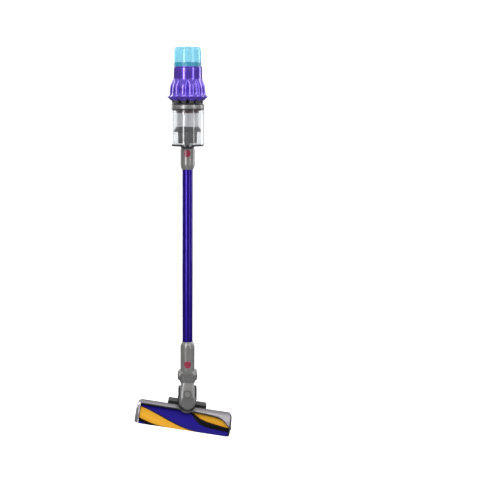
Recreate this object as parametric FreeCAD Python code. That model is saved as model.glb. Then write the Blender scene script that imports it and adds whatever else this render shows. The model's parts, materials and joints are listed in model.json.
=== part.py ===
import FreeCAD, Part
import math
import os

# Cordless stick vacuum: hand-held cyclone machine, wand and soft-roller floor head.
#
# Working datum, in millimetres: the wand's axis is X = Y = 0, the roller side faces -Y and the handle is
# on the +Y side. The floor head is drawn level, standing on its own floor at Z = 0. It is then lowered by
# HEAD_DROP and rolled by HEAD_TILT on its swivel, as it hangs when the machine is held off the floor.
# Every piece is moved at the end so that the row origin is the mouth of the charging socket, where a dock
# carries the machine.

V = FreeCAD.Vector
FIT = 0.4            # gap between pieces that slide or turn on each other
SEAT = 0.2           # gap between pieces that are screwed or clipped together
RUNNING = 0.05       # radial clearance of a shaft or pin in its bearing

# wand and its sockets
TUBE_R = 15.0
TUBE_WALL = 1.4
CUFF_R = 20.4
LOWER_CUFF_R = 20.9
WAND_BUTTON_Z = 803.0
WAND_TOP = 820.5
TUBE_TOP = 756.5
TUBE_FOOT = 256.0
WAND_FOOT = 203.4

# hand-held machine, turned about its own axis in front of the wand's
MACHINE_Y = -30.0
MACHINE_TOP = 1100.0
FILTER_R = 38.4
FILTER_FOOT = 1045.4
HOUSING_R = 40.8
SHELL_TOP = 1012.2
SHELL_FOOT = 951.0
SHELL_THROAT_R = 36.5
LIP_R = 43.2
CONES = 11
HALF_PITCH = 180.0 / CONES
CUP_R = 8.2
SHAFT_R = 2.7
IMPELLER_BLADES = 9
MOTOR_FOOT = 1005.0
SCREEN_R = 15.0
MODE_R = 3.2
RING_TOP = 941.8
RING_FOOT = 925.9
RING_R = 46.6
SHROUD_TOP = 916.4
SHROUD_FOOT = 879.0
MESH_R = 30.7
MESH_WALL = 1.2
COLLECTOR_FOOT = 832.4
BIN_R = 46.8
BIN_WALL = 2.2
BIN_FOOT = 829.6
DOOR_Y = -79.6
DOOR_Z = 827.0
DOOR_PIN_R = 1.5
DOOR_TOP = 829.2
DOOR_FOOT = 824.4
KNUCKLE_R = 3.0
EAR_OF_DOOR_X = (5.4, 10.4)
BASE_FOOT = 823.4
INLET_R = 19.6
INLET_BORE_R = 16.6
DUCT_R = 14.2
DUCT_CLEAR_R = 15.0

# handle, battery and dock spine
HANDLE_END_Y = 98.0
BATTERY_Y = (66.0, 103.6)
BATTERY_Z = (902.0, 1014.0)
BATTERY_BUTTON_Z = 924.0
SPINE_Y = (104.2, 114.0)
SPINE_FOOT = 880.0
SOCKET_R = 2.75
SOCKET_DEPTH = 11.0
SOCKET_Y = (SPINE_Y[0] + SPINE_Y[1]) / 2

# neck and floor head
PITCH_Z = 156.0
EAR_R = 17.1
EAR_X = (16.4, 29.3)
TONGUE_X = 16.0
PIN_R = 5.0
AIRWAY_R = 12.6
HEAD_BUTTON_Z = 190.6
DISC_R = 13.0
DISC_Z = 106.0
ROLL_Z = 86.0
BOOT_R = 25.0
BOOT_Y = (-38.0, 14.2)
HEAD_TILT = 9.0
HEAD_DROP = 4.2
HEAD_ROLL_Z = ROLL_Z + HEAD_DROP
HEAD_X = (-144.0, 135.4)
ROLLER_X = (-132.6, 130.0)
ROLLER_Y = -24.0
ROLLER_Z = 29.3
ROLLER_R = 29.0
TUBE_IN_ROLLER_R = 22.0
STUB_R = 3.0
DECK_Z = 66.2
VISOR_R = DECK_Z - ROLLER_Z
VISOR_WALL = 3.4
VISOR_BACK_Y = -3.0
SADDLE_R = BOOT_R + 7.5
CHASSIS_X = (ROLLER_X[0] - 0.6, ROLLER_X[1] + 0.4)
CARRIAGE_X = (-54.0, 60.4)
CARRIAGE_Y = (18.0, 62.0)
CARRIAGE_TOP = 72.6
COLLAR_R = 27.4
WHEEL_R = 9.5
WHEEL_Y = 52.0
WHEEL_X = (32.0, 48.0)
AXLE_R = 2.0
CAP_R = 22.0
SCREW_X = (-118.0, -70.0, 76.0, 114.0)
SCREW_Y = 30.0

ORIGIN = V(0, SOCKET_Y, SPINE_FOOT)


# ---------------------------------------------------------------- shapes
def box(x, y, z):
    """A block between two values on each axis."""
    return Part.makeBox(x[1] - x[0], y[1] - y[0], z[1] - z[0], V(x[0], y[0], z[0]))


def rod(radius, start, end):
    """A round bar from one point to another."""
    a, b = V(*start), V(*end)
    return Part.makeCylinder(radius, (b - a).Length, a, b - a)


def upright(radius, z, y=0.0, x=0.0):
    return rod(radius, (x, y, z[0]), (x, y, z[1]))


def ring(outer, inner, z, y=0.0):
    return upright(outer, z, y).cut(upright(inner, z, y))


def face(points):
    """A flat face through the points, which are vectors."""
    return Part.Face(Part.makePolygon(points + [points[0]]))


def turned(profile, y=0.0):
    """A profile of (radius, z) turned about the upright axis at y."""
    flat = face([V(r, y, z) for r, z in profile])
    return flat.revolve(V(0, y, 0), V(0, 0, 1), 360)


def turned_about_x(profile, y, z):
    """A profile of (x, radius) turned about an axis along X."""
    flat = face([V(x, y, z + r) for x, r in profile])
    return flat.revolve(V(0, y, z), V(1, 0, 0), 360)


def side_prism(points, x):
    """An outline of (y, z) carried from one x to another."""
    return face([V(x[0], y, z) for y, z in points]).extrude(V(x[1] - x[0], 0, 0))


def front_prism(points, y):
    """An outline of (x, z) carried from one y to another."""
    return face([V(px, y[0], pz) for px, pz in points]).extrude(V(0, y[1] - y[0], 0))


def rounded(shape, radius, wanted):
    """Rounds the edges that wanted() picks; a smaller radius is used where the full one has no room."""
    edges = [e for e in shape.Edges if wanted(e)]
    for share in (1.0, 0.6, 0.35):
        try:
            made = shape.makeFillet(radius * share, edges)
            if made.isValid() and made.Volume > 0:
                return made
        except Exception:
            continue
    return shape


def along(axis):
    """Picks straight edges that run along one axis, given as 0, 1 or 2."""
    def wanted(edge):
        if edge.Curve.TypeId != "Part::GeomLine" or edge.Length < 1.0:
            return False
        step = edge.Vertexes[1].Point - edge.Vertexes[0].Point
        parts = (abs(step.x), abs(step.y), abs(step.z))
        return parts[axis] > 0.999 * edge.Length
    return wanted


def around_machine(shape, number, start_deg):
    """Copies of a shape made on the machine's front line, spaced evenly about the machine's axis."""
    copies = []
    for k in range(number):
        copy = shape.copy()
        copy.rotate(V(0, MACHINE_Y, 0), V(0, 0, 1), start_deg + 360.0 * k / number)
        copies.append(copy)
    return copies


nodes = {}


def keep(name, shape, on_head=False):
    """Records a finished piece; one that is on the head is lowered and rolled with it first."""
    shape = shape.copy()
    if on_head:
        shape.translate(V(0, 0, -HEAD_DROP))
        shape.rotate(V(0, 0, ROLL_Z), V(0, 1, 0), HEAD_TILT)
    shape.translate(-ORIGIN)
    nodes[name] = shape


# ---------------------------------------------------------------- cyclones and bin ring
def cyclone_shell():
    """Flared shell: a turned skin, a standing cone over each cyclone and a scalloped lower lip."""
    inside = [(LIP_R, 957.0), (46.5, 963.0), (46.5, 976.0), (SHELL_THROAT_R, 1006.0)]
    skin = turned([(SHELL_THROAT_R, SHELL_TOP), (41.2, SHELL_TOP), (42.6, 1005.4), (47.6, 989.6),
                   (49.4, 977.7),
                   (50.6, 969.7), (56.8, 961.6), (45.6, SHELL_FOOT), (LIP_R, SHELL_FOOT)] + inside, MACHINE_Y)
    below, above = SHELL_FOOT - 6.0, SHELL_TOP + 8.0
    hollow = turned([(0, below), (LIP_R, below)] + inside + [(SHELL_THROAT_R, above), (0, above)], MACHINE_Y)
    low, high = V(0, MACHINE_Y - 45.0, 963.0), V(0, MACHINE_Y - 38.4, 1010.0)
    cone = Part.makeCone(CUP_R, 3.9, (high - low).Length, low, high - low)
    shell = skin.multiFuse(around_machine(cone, CONES, HALF_PITCH)).cut(hollow)
    notch = front_prism([(-9.0, SHELL_FOOT - 2.0), (0.0, 960.5), (9.0, SHELL_FOOT - 2.0)],
                        (MACHINE_Y - 62.0, MACHINE_Y - 40.0))
    for cut in around_machine(notch, CONES, 0.0):
        shell = shell.cut(cut)
    return shell


def cyclone_pack():
    """The moulding inside the shell: a core with the round lower end of each cyclone on its foot."""
    foot = RING_TOP + SEAT
    core = turned([(23.4, foot), (43.0, foot), (43.0, foot + 1.2), (27.6, foot + 1.2), (27.6, 1006.0),
                   (35.8, 1011.0), (35.8, 1016.0), (30.0, 1016.0), (23.4, 1012.0)], MACHINE_Y)
    cup = Part.makeCone(CUP_R, CUP_R - 1.0, 8.6, V(0, MACHINE_Y - 36.4, foot), V(0, 0, 1))
    return core.multiFuse(around_machine(cup, CONES, HALF_PITCH))


def upper_machine():
    housing_foot = SHELL_TOP + SEAT
    keep("motor_housing", turned(
        [(26.0, 1042.0), (38.2, 1042.0), (38.2, housing_foot), (41.0, housing_foot), (HOUSING_R, 1030.0),
         (HOUSING_R, 1043.0), (39.6, 1045.0), (26.0, 1045.0)], MACHINE_Y))
    keep("cyclone_shell", cyclone_shell())
    keep("cyclone_pack", cyclone_pack())
    keep("bin_ring", turned(
        [(43.2, RING_FOOT), (RING_R, RING_FOOT), (RING_R, 929.0), (45.2, 930.0), (45.2, 938.4),
         (RING_R, 939.4),
         (RING_R, RING_TOP), (24.0, RING_TOP), (24.0, 939.0), (43.2, 939.0)], MACHINE_Y))
    bore = SHAFT_R + RUNNING
    keep("motor", turned([(bore, MOTOR_FOOT), (20.0, MOTOR_FOOT), (21.0, MOTOR_FOOT + 2.0), (21.0, 1072.0),
                          (16.0, 1078.0), (0.0, 1078.0), (0.0, 1030.0), (bore, 1030.0)], MACHINE_Y))
    keep("motor_bucket", turned([(21.6, 1045.2), (24.6, 1045.2), (24.6, 1087.6), (17.0, 1087.6),
                                 (17.0, 1085.0),
                                 (21.6, 1082.0)], MACHINE_Y))


def impeller():
    """Mixed-flow impeller on its shaft, under the motor."""
    hub = turned([(0.0, 985.0), (2.4, 985.0), (2.4, 988.0), (6.0, 990.0), (9.0, 997.0), (18.6, 1000.0),
                  (18.6, 1001.5), (SHAFT_R, 1001.5), (SHAFT_R, 1026.0), (0.0, 1026.0)], MACHINE_Y)
    blade = box((-0.6, 0.6), (MACHINE_Y - 18.0, MACHINE_Y - 4.0), (990.5, 1000.6))
    return hub.multiFuse(around_machine(blade, IMPELLER_BLADES, 0.0))


def top_end():
    """The motor's end cap with its round display and the mode button beside it."""
    screen_y, button_y = MACHINE_Y - 4.0, MACHINE_Y + 16.6
    above = MACHINE_TOP + 1.0
    cap = turned([(0.0, 1088.0), (24.8, 1088.0), (24.8, 1097.6), (23.4, 1099.2), (0.0, 1099.2)], MACHINE_Y)
    cap = cap.cut(upright(SCREEN_R + SEAT, (1097.4, above), screen_y))
    keep("top_cap", cap.cut(upright(MODE_R + FIT, (1092.0, above), button_y)))
    keep("screen", turned([(0.0, 1097.6), (SCREEN_R, 1097.6), (SCREEN_R, 1099.4), (SCREEN_R - 0.8, 1099.9),
                           (0.0, 1099.9)], screen_y))
    keep("mode_button", turned([(0.0, 1094.2), (MODE_R, 1094.2), (MODE_R, 1099.6), (MODE_R - 0.8, 1100.4),
                                (0.0, 1100.4)], button_y))


def filter_unit():
    """Clear cap with a rounded shoulder, the band that the fingers grip, and the pleated ring inside."""
    cap_outside = [(36.2, 1057.0), (FILTER_R, 1057.0), (FILTER_R - 0.4, 1089.0), (36.6, 1094.2),
                   (33.6, 1098.0),
                   (29.4, MACHINE_TOP), (25.4, MACHINE_TOP)]
    cap_inside = [(25.4, 1097.6), (29.2, 1097.6), (32.2, 1096.2), (34.6, 1093.0), (35.8, 1088.6)]
    keep("filter_shell", turned(cap_outside + cap_inside, MACHINE_Y))
    band_r = FILTER_R + 0.3
    keep("filter_band", turned([(27.0, FILTER_FOOT), (band_r, FILTER_FOOT), (band_r, 1056.8), (36.2, 1056.8),
                                (36.2, 1048.0), (27.0, 1048.0)], MACHINE_Y))
    shoulder = turned([(32.0, 1095.0), (40.0, 1085.0), (40.0, 1095.0)], MACHINE_Y)
    keep("filter_pleats", ring(34.2, 26.6, (1048.2, 1094.6), MACHINE_Y).cut(shoulder))


# ---------------------------------------------------------------- shroud and dust collector
def grooved(profile, inner_profile, wall=2.0):
    """A turned shell with a groove down its back for the inlet duct; the groove keeps its own wall."""
    height = (BIN_FOOT - 30.0, SHROUD_TOP)
    outer = turned(profile, MACHINE_Y).cut(upright(DUCT_CLEAR_R, height))
    inner = turned(inner_profile, MACHINE_Y).cut(upright(DUCT_CLEAR_R + wall, height))
    return outer.cut(inner)


def shroud():
    head_foot, inside_r = SHROUD_TOP + SEAT, MESH_R - MESH_WALL
    keep("shroud_head", turned([(24.6, head_foot), (32.4, head_foot), (32.4, 920.0), (31.6, 924.0),
                                (31.6, 938.8), (24.6, 938.8)], MACHINE_Y))
    keep("shroud_mesh", grooved(
        [(0, SHROUD_FOOT), (MESH_R, SHROUD_FOOT), (MESH_R, SHROUD_TOP), (0, SHROUD_TOP)],
        [(0, SHROUD_FOOT - 9.0), (inside_r, SHROUD_FOOT - 9.0), (inside_r, SHROUD_TOP + 4.0),
         (0, SHROUD_TOP + 4.0)], MESH_WALL))
    collector = [(0, COLLECTOR_FOOT), (25.4, COLLECTOR_FOOT), (26.2, 836.0), (27.2, 870.0)]
    skirt = [(30.4, 871.6), (36.8, 864.7), (39.8, 864.7), (38.8, 867.4), (34.0, 874.5), (31.2, 878.8),
             (0, 878.8)]
    hollow = [(0, 830.0), (23.6, 830.0), (24.4, 836.0), (25.4, 880.0), (0, 880.0)]
    keep("dust_collector", grooved(collector + skirt, hollow))


# ---------------------------------------------------------------- bin, its slide and its door
def door_line(radius, x):
    """A bar along the door's hinge axis."""
    return rod(radius, (x[0], DOOR_Y, DOOR_Z), (x[1], DOOR_Y, DOOR_Z))


def bin_wall():
    """Clear tube with a rolled foot and, at the front, the two ears of the door's hinge."""
    tube = ring(BIN_R, BIN_R - BIN_WALL, (BIN_FOOT, RING_FOOT - SEAT), MACHINE_Y)
    tube = tube.fuse(ring(BIN_R + 0.9, BIN_R - 0.5, (BIN_FOOT, BIN_FOOT + 3.0), MACHINE_Y))
    inner, outer = EAR_OF_DOOR_X
    ears = []
    for x in ((-outer, -inner), (inner, outer)):
        ears += [box(x, (DOOR_Y - KNUCKLE_R, -76.0), (DOOR_Z, 834.0)), door_line(KNUCKLE_R, x)]
    ears = ears[0].multiFuse(ears[1:]).cut(upright(BIN_R - 1.0, (820, 840), MACHINE_Y))
    ears = ears.cut(box((-12, 12), (-78.2, -70), (820.0, BIN_FOOT))).cut(door_line(DOOR_PIN_R, (-12, 12)))
    return tube.fuse(ears)


def inlet():
    """The duct that carries the dirty air up the bin's back, and the base that the wand plugs into."""
    duct = ring(DUCT_R, DUCT_R - 1.5, (BASE_FOOT, 912.0))
    keep("inlet_duct", duct.cut(side_prism([(-16, 896), (16, 913), (-16, 913)], (-16, 16))))
    plate = upright(BIN_R, (BASE_FOOT, DOOR_TOP), MACHINE_Y).fuse(upright(INLET_R, (BASE_FOOT, DOOR_TOP)))
    plate = plate.common(box((-20.4, 20.4), (-INLET_R, 30), (820, 832)))
    collar = ring(INLET_R, INLET_BORE_R, (818.6, BASE_FOOT))
    base = plate.fuse(collar).cut(upright(DUCT_R + 0.1, (BASE_FOOT - FIT, 832)))
    keep("inlet_base", base.cut(upright(INLET_BORE_R, (818, BASE_FOOT))))


def bin_parts():
    keep("bin_wall", bin_wall())
    keep("bin_seal", ring(44.4, 43.0, (920.0, 925.4), MACHINE_Y))
    inlet()
    runner = box((-9.0, 9.0), (17.6, 26.4), (838.0, 915.0)).cut(box((-5.4, 5.4), (19.4, 24.2),
                                                                    (830.0, 920.0)))
    runner = rounded(runner, 2.0,
                     lambda e: along(2)(e) and e.CenterOfMass.y > 26 and abs(e.CenterOfMass.x) > 8)
    keep("bin_runner", runner.cut(upright(BIN_R + 0.1, (820, 930), MACHINE_Y)))


def door():
    """Bottom door: a turned frame round a clear window, cut away at the back for the inlet."""
    inlet_notch = box((-21.2, 21.2), (-20.6, 40), (815, 840))
    frame = turned([(33.0, DOOR_FOOT), (43.4, DOOR_FOOT), (46.4, 827.4), (46.4, DOOR_TOP), (42.4, DOOR_TOP),
                    (42.4, 826.6), (33.0, 826.6)], MACHINE_Y)
    arm = box((-4.8, 4.8), (DOOR_Y, -70), (DOOR_FOOT + SEAT, 827.8)).fuse(door_line(KNUCKLE_R, (-4.8, 4.8)))
    rim = box((-33.6, 33.6), (-24.0, -20.6), (DOOR_FOOT, DOOR_TOP))
    frame = frame.multiFuse([arm, rim]).cut(door_line(DOOR_PIN_R + RUNNING, (-6, 6))).cut(inlet_notch)
    keep("door_frame", frame)
    keep("door_window", upright(42.2, (826.8, 829.0), MACHINE_Y).cut(inlet_notch).cut(rim).cut(frame))
    keep("door_pin", door_line(DOOR_PIN_R, (-EAR_OF_DOOR_X[1], EAR_OF_DOOR_X[1])))


def bin_slide():
    """The rail that the bin's runner slides on, and the red lever that lets it go."""
    rail = box((-5.0, 5.0), (19.8, 23.8), (836.0, 940.0)).fuse(box((-10.0, 10.0), (15.0, 26.4),
                                                                   (916.0, 940.0)))
    keep("bin_rail", rail.cut(upright(BIN_R + 0.1, (830, 945), MACHINE_Y)))
    lever = side_prism([(26.8, 922.0), (31.0, 922.0), (33.6, 925.0), (32.0, 930.0), (32.0, 942.0),
                        (30.0, 946.0),
                        (26.8, 946.0)], (-7.0, 7.0))
    keep("bin_lever", rounded(lever, 1.4, along(0)))


# ---------------------------------------------------------------- handle and battery
def grip_solid():
    """The hand grip: upright ellipses joined smoothly from the machine to the foot."""
    wires = []
    for y, z, half_width, half_height in ((2.0, 1019.0, 20.0, 23.0), (24.0, 1021.5, 16.4, 17.4),
                                          (58.0, 1030.0, 15.4, 15.6), (HANDLE_END_Y, 1040.0, 17.4, 17.6)):
        centre = V(0, y, z)
        oval = Part.Ellipse(centre + V(0, 0, half_height), centre + V(half_width, 0, 0), centre)
        wires.append(Part.Wire(oval.toShape()))
    return Part.makeLoft(wires, True)


def handle_foot():
    """The block at the grip's end and the spine down from it, with the charging socket in its foot."""
    inside_y = HANDLE_END_Y + SEAT
    foot = side_prism([(68.0, 1014.8), (112.0, 1014.8), (SPINE_Y[1], 1018.0), (SPINE_Y[1], 1048.0),
                       (108.0, 1058.0),
                       (99.0, 1060.0), (inside_y, 1060.0), (inside_y, 1030.0), (68.0, 1020.0)], (-19.0, 19.0))
    foot = rounded(foot, 5.0, lambda e: e.CenterOfMass.y > 97 and abs(e.CenterOfMass.x) > 18)
    spine = box((-15.0, 15.0), SPINE_Y, (SPINE_FOOT, 1016.0)).fuse(box((-4.0, 4.0), (100.2, 104.6),
                                                                       (905.0, 1010.0)))
    spine = rounded(spine, 4.0,
                    lambda e: along(2)(e) and abs(e.CenterOfMass.x) > 14 and e.CenterOfMass.y > 110)
    socket = upright(SOCKET_R, (SPINE_FOOT - 1, SPINE_FOOT + SOCKET_DEPTH), SOCKET_Y)
    return foot.cut(grip_solid()).fuse(spine).cut(socket)


def handle():
    machine_body = turned(
        [(0, 940), (57.2, 961.6), (52.4, 969.7), (51.2, 977.7), (49.2, 989.6), (44.2, 1005.4), (42.6, 1012.0),
         (41.4, 1016.0), (41.4, 1060), (0, 1060)], MACHINE_Y)
    pocket = box((-7.2, 7.2), (27.0, 50.0), (990.0, 1017.4))
    keep("handle_grip", grip_solid().cut(machine_body).cut(pocket))
    keep("handle_foot", handle_foot())
    trigger = side_prism([(28.0, 1001.0), (32.0, 996.6), (38.0, 998.2), (45.0, 996.2), (49.2, 1001.0),
                          (49.2, 1012.6), (28.0, 1012.6)], (-6.7, 6.7))
    keep("trigger", rounded(trigger, 2.2, lambda e: e.CenterOfMass.z < 1004))


def battery():
    """Battery case on the spine's key, four cells in it and the release button on its front."""
    case = rounded(box((-22.0, 22.0), BATTERY_Y, BATTERY_Z), 7.0, along(2))
    case = rounded(case, 2.5, lambda e: abs(e.CenterOfMass.z - BATTERY_Z[0]) < 0.1)
    case = case.cut(box((-4.6, 4.6), (99.8, 105.0), (900.0, 1016.0)))
    case = case.cut(box((-19.4, 19.4), (68.6, 99.0), (912.0, 1011.0)))
    button_r, button_front = 5.2, 65.2
    case = case.cut(rod(button_r + FIT, (0, 64.0, BATTERY_BUTTON_Z), (0, 70.0, BATTERY_BUTTON_Z)))
    keep("battery_case", case)
    cells = []
    for x in (-9.6, 9.6):
        cells += [upright(9.2, (912.6, 977.6), 86.6, x), upright(9.2, (978.4, 1010.4), 86.6, x)]
    keep("battery_cells", Part.makeCompound(cells))
    button = rod(button_r, (0, button_front, BATTERY_BUTTON_Z), (0, button_front + 4.2, BATTERY_BUTTON_Z))
    keep("battery_button", rounded(button, 0.8, lambda e: abs(e.CenterOfMass.y - button_front) < 0.1))


# ---------------------------------------------------------------- wand
def front_bore(radius, z, y):
    """A bar along Y that cuts a button's pocket in a cuff."""
    return rod(radius, (0, y[0], z), (0, y[1], z))


def press_button(radius, z, proud_r, back_y):
    """A round push button whose face follows the cuff it sits in."""
    return front_bore(radius, z, (-40.0, back_y)).common(upright(proud_r, (z - 30, z + 30)))


def wand():
    tube_seat_r = TUBE_R + 0.1
    keep("wand_tube", ring(TUBE_R, TUBE_R - TUBE_WALL, (244.2, 800.0)))
    cuff = turned([(tube_seat_r, TUBE_TOP), (15.7, TUBE_TOP), (17.4, 759.6), (19.4, 765.0), (CUFF_R, 771.0),
                   (CUFF_R, 813.6), (19.4, 816.4), (16.2, 818.2), (16.2, WAND_TOP), (12.2, WAND_TOP),
                   (12.2, 806.4), (tube_seat_r, 804.4)])
    keep("wand_upper_cuff", cuff.cut(front_bore(10.4, WAND_BUTTON_Z, (-26.0, -14.0))))
    keep("wand_nose", turned([(10.6, 800.4), (14.9, 800.4), (14.9, 804.0), (12.0, 806.0), (12.0, 836.0),
                              (10.6, 836.0)]))
    keep("wand_button", press_button(10.0, WAND_BUTTON_Z, CUFF_R + 1.0, -17.9))
    keep("wand_lower_collar", turned(
        [(tube_seat_r, 244.0), (tube_seat_r, TUBE_FOOT), (15.7, TUBE_FOOT), (17.6, 253.0), (20.0, 247.0),
         (LOWER_CUFF_R, 241.0), (LOWER_CUFF_R, WAND_FOOT), (17.5, WAND_FOOT), (17.5, 241.0)]))


# ---------------------------------------------------------------- neck
def across_pitch(radius, x):
    """A bar along the neck's hinge axis."""
    return rod(radius, (x[0], 0, PITCH_Z), (x[1], 0, PITCH_Z))


def head_cuff():
    """The head's socket piece: a cuff that closes on the shoulder, and a tongue on the hinge pin."""
    cuff = rounded(upright(LOWER_CUFF_R, (169.0, WAND_FOOT - FIT)), 1.5, lambda e: e.CenterOfMass.z < 169.5)
    cuff = cuff.cut(across_pitch(EAR_R + FIT, (-30, 30)))
    tongue = box((-TONGUE_X, TONGUE_X), (-EAR_R, 13.0), (PITCH_Z, 180.0))
    tongue = tongue.common(upright(LOWER_CUFF_R, (PITCH_Z - 1, 180.0)))
    knuckle = across_pitch(EAR_R, (-TONGUE_X, TONGUE_X))
    body = cuff.multiFuse([tongue, knuckle, upright(17.0, (WAND_FOOT - FIT, 240.0))])
    body = body.cut(upright(AIRWAY_R, (174.0, 241.0))).cut(across_pitch(PIN_R + RUNNING, (-18, 18)))
    keep("head_cuff", body.cut(front_bore(10.8, HEAD_BUTTON_Z, (-26.0, -15.6))))
    keep("head_button", press_button(10.4, HEAD_BUTTON_Z, LOWER_CUFF_R + 1.0, -18.2))


def neck_outline():
    """Right half of the neck's front view above the round boot, as (x, z)."""
    return [(23.0, ROLL_Z), (22.8, 112.0), (21.6, 121.0), (19.2, 128.0), (18.5, 134.0), (20.0, 139.0),
            (23.0, 143.0),
            (26.0, 150.0), (26.0, PITCH_Z)]


def neck_solid():
    """The neck's front shell before its hollows: front outline and side outline together."""
    right = neck_outline()
    outline = [(-x, z) for x, z in right] + list(reversed(right))
    front = front_prism(outline, (-42, 20)).fuse(rod(BOOT_R, (0, -42, ROLL_Z), (0, 20, ROLL_Z)))
    side = side_prism([(BOOT_Y[0], 58.0), (BOOT_Y[0], 96.0), (-34.0, 108.0), (-21.0, 130.0), (-EAR_R, 140.0),
                       (-EAR_R, PITCH_Z), (EAR_R, PITCH_Z), (15.4, 149.0), (12.6, 144.8), (10.6, 142.0),
                       (10.6, 58.0)], (-30, 30))
    shell = front.common(side)
    for sign in (-1, 1):
        inner, outer = EAR_X
        ear = turned_about_x([(sign * inner, 0), (sign * inner, EAR_R), (sign * (outer - 5.0), EAR_R),
                              (sign * (outer - 1.5), EAR_R - 2.0), (sign * outer,
                                                                    EAR_R - 6.0), (sign * outer, 0)],
                             0, PITCH_Z)
        shell = shell.fuse(ear)
    return shell


def neck():
    shell = neck_solid()
    back = box((-27.2, 27.2), (-16.0, BOOT_Y[1]), (ROLL_Z - 2.0, 121.0))
    back = rounded(back, 4.0, lambda e: along(1)(e) and e.CenterOfMass.z > 120)
    back = back.cut(shell)
    between_ears = (-EAR_X[0], EAR_X[0])
    shell = shell.cut(across_pitch(EAR_R + FIT, between_ears))
    shell = shell.cut(box(between_ears, (-20, 20), (PITCH_Z, 190))).cut(across_pitch(PIN_R, (-26.5, 26.5)))
    spigot_hole = rod(17.6, (0, -30, ROLL_Z), (0, 16, ROLL_Z))
    shell = shell.cut(spigot_hole).cut(upright(AIRWAY_R, (ROLL_Z, 142.0)))
    keep("neck_rear_cover", back.cut(spigot_hole))
    lean = V(0, -0.95, 0.31)
    centre = V(0, -34.4, DISC_Z)
    disc = Part.makeCylinder(DISC_R, 5.0, centre - lean * 2.8, lean)
    keep("neck_shell", shell.cut(Part.makeCylinder(DISC_R + SEAT, 7.0, centre - lean * 3.0, lean)))
    keep("neck_disc", rounded(disc, 1.2, lambda e: (e.CenterOfMass - (centre + lean * 2.2)).Length < 1.0))
    keep("hinge_pin", across_pitch(PIN_R, (-26.3, 26.3)))
    spigot = rod(17.5, (0, 2.0, ROLL_Z), (0, 33.0, ROLL_Z)).cut(rod(14.6, (0, 1.0, ROLL_Z),
                                                                    (0, 34.0, ROLL_Z)))
    keep("swivel_spigot", spigot.cut(upright(AIRWAY_R + SEAT, (ROLL_Z, 130.0))))


# ---------------------------------------------------------------- floor head, drawn level
def about_roller(radius, degrees, x=0.0):
    """A point on a circle about the roller's axis; 90 degrees is the top and 180 the front."""
    angle = math.radians(degrees)
    return V(x, ROLLER_Y + radius * math.cos(angle), ROLLER_Z + radius * math.sin(angle))


def curved_cover(x, lip, back_y, proud=0.0):
    """A bent plate over the roller, from its front lip at an angle to a flat back edge."""
    outer, inner = VISOR_R + proud, VISOR_R - VISOR_WALL
    middle = (lip + 90.0) / 2
    top, under = about_roller(outer, 90.0, x[0]), about_roller(inner, 90.0, x[0])
    low, low_in = about_roller(outer, lip, x[0]), about_roller(inner, lip, x[0])
    back, back_in = V(x[0], back_y, top.z), V(x[0], back_y, under.z)
    edges = [Part.Arc(low, about_roller(outer, middle, x[0]), top), Part.LineSegment(top, back),
             Part.LineSegment(back, back_in), Part.LineSegment(back_in, under),
             Part.Arc(under, about_roller(inner, middle, x[0]), low_in), Part.LineSegment(low_in, low)]
    return Part.Face(Part.Wire([e.toShape() for e in edges])).extrude(V(x[1] - x[0], 0, 0))


def swivel_rod(radius, y):
    return rod(radius, (0, y[0], HEAD_ROLL_Z), (0, y[1], HEAD_ROLL_Z))


def covers():
    """The visor in two lengths, and between them the saddle that follows the neck's round boot."""
    lengths = []
    for x in ((CHASSIS_X[0], -12.0), (12.0, CHASSIS_X[1])):
        lengths.append(curved_cover(x, 121.0, VISOR_BACK_Y).cut(swivel_rod(SADDLE_R + SEAT, (-60, 20))))
    keep("head_visor", Part.makeCompound(lengths), True)
    saddle = curved_cover((-SADDLE_R, SADDLE_R), 136.0, BOOT_Y[1] - SEAT, 0.4)
    saddle = saddle.common(swivel_rod(SADDLE_R, (-60, 20)))
    keep("head_saddle", saddle.cut(swivel_rod(BOOT_R + 0.6, (-60, 20))), True)


def end_wire(x, front_r, top_z):
    """The side plate's outline: a round front about the roller, a sloping back and a short flat foot."""
    low = V(x, ROLLER_Y, top_z - 2 * front_r)
    front = V(x, ROLLER_Y - front_r, top_z - front_r)
    top, crest = V(x, ROLLER_Y, top_z), V(x, 4.0, top_z - 1.6)
    bend, tail = V(x, 30.0, top_z - 14.0), V(x, 44.0, top_z - 34.0)
    heel, foot = V(x, 44.0, 12.0), V(x, 34.0, 4.0)
    edges = [Part.Arc(low, front, top), Part.LineSegment(top, crest), Part.Arc(crest, bend, tail),
             Part.LineSegment(tail, heel), Part.LineSegment(heel, foot), Part.LineSegment(foot, low)]
    return Part.Wire([e.toShape() for e in edges])


def left_end():
    """Domed end: the outline shrinks towards a low centre as an ellipse's quarter."""
    inside = CHASSIS_X[0] - SEAT
    depth = inside - HEAD_X[0]
    wires = []
    for share in (0.0, 0.3, 0.55, 0.75, 0.9, 1.0):
        shrink = 1.0 - 0.42 * (1.0 - math.sqrt(1.0 - share ** 2))
        wire = end_wire(0.0, 32.4, DECK_Z).scaled(shrink, V(0, ROLLER_Y + 6.0, 14.0))
        wire.translate(V(inside - depth * share, 0, 0))
        wires.append(wire)
    motor_seat = rod(5.0, (ROLLER_X[0] - 3.4, ROLLER_Y, ROLLER_Z), (ROLLER_X[0], ROLLER_Y, ROLLER_Z))
    keep("left_end_plate", Part.makeLoft(wires, True).cut(motor_seat), True)


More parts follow.
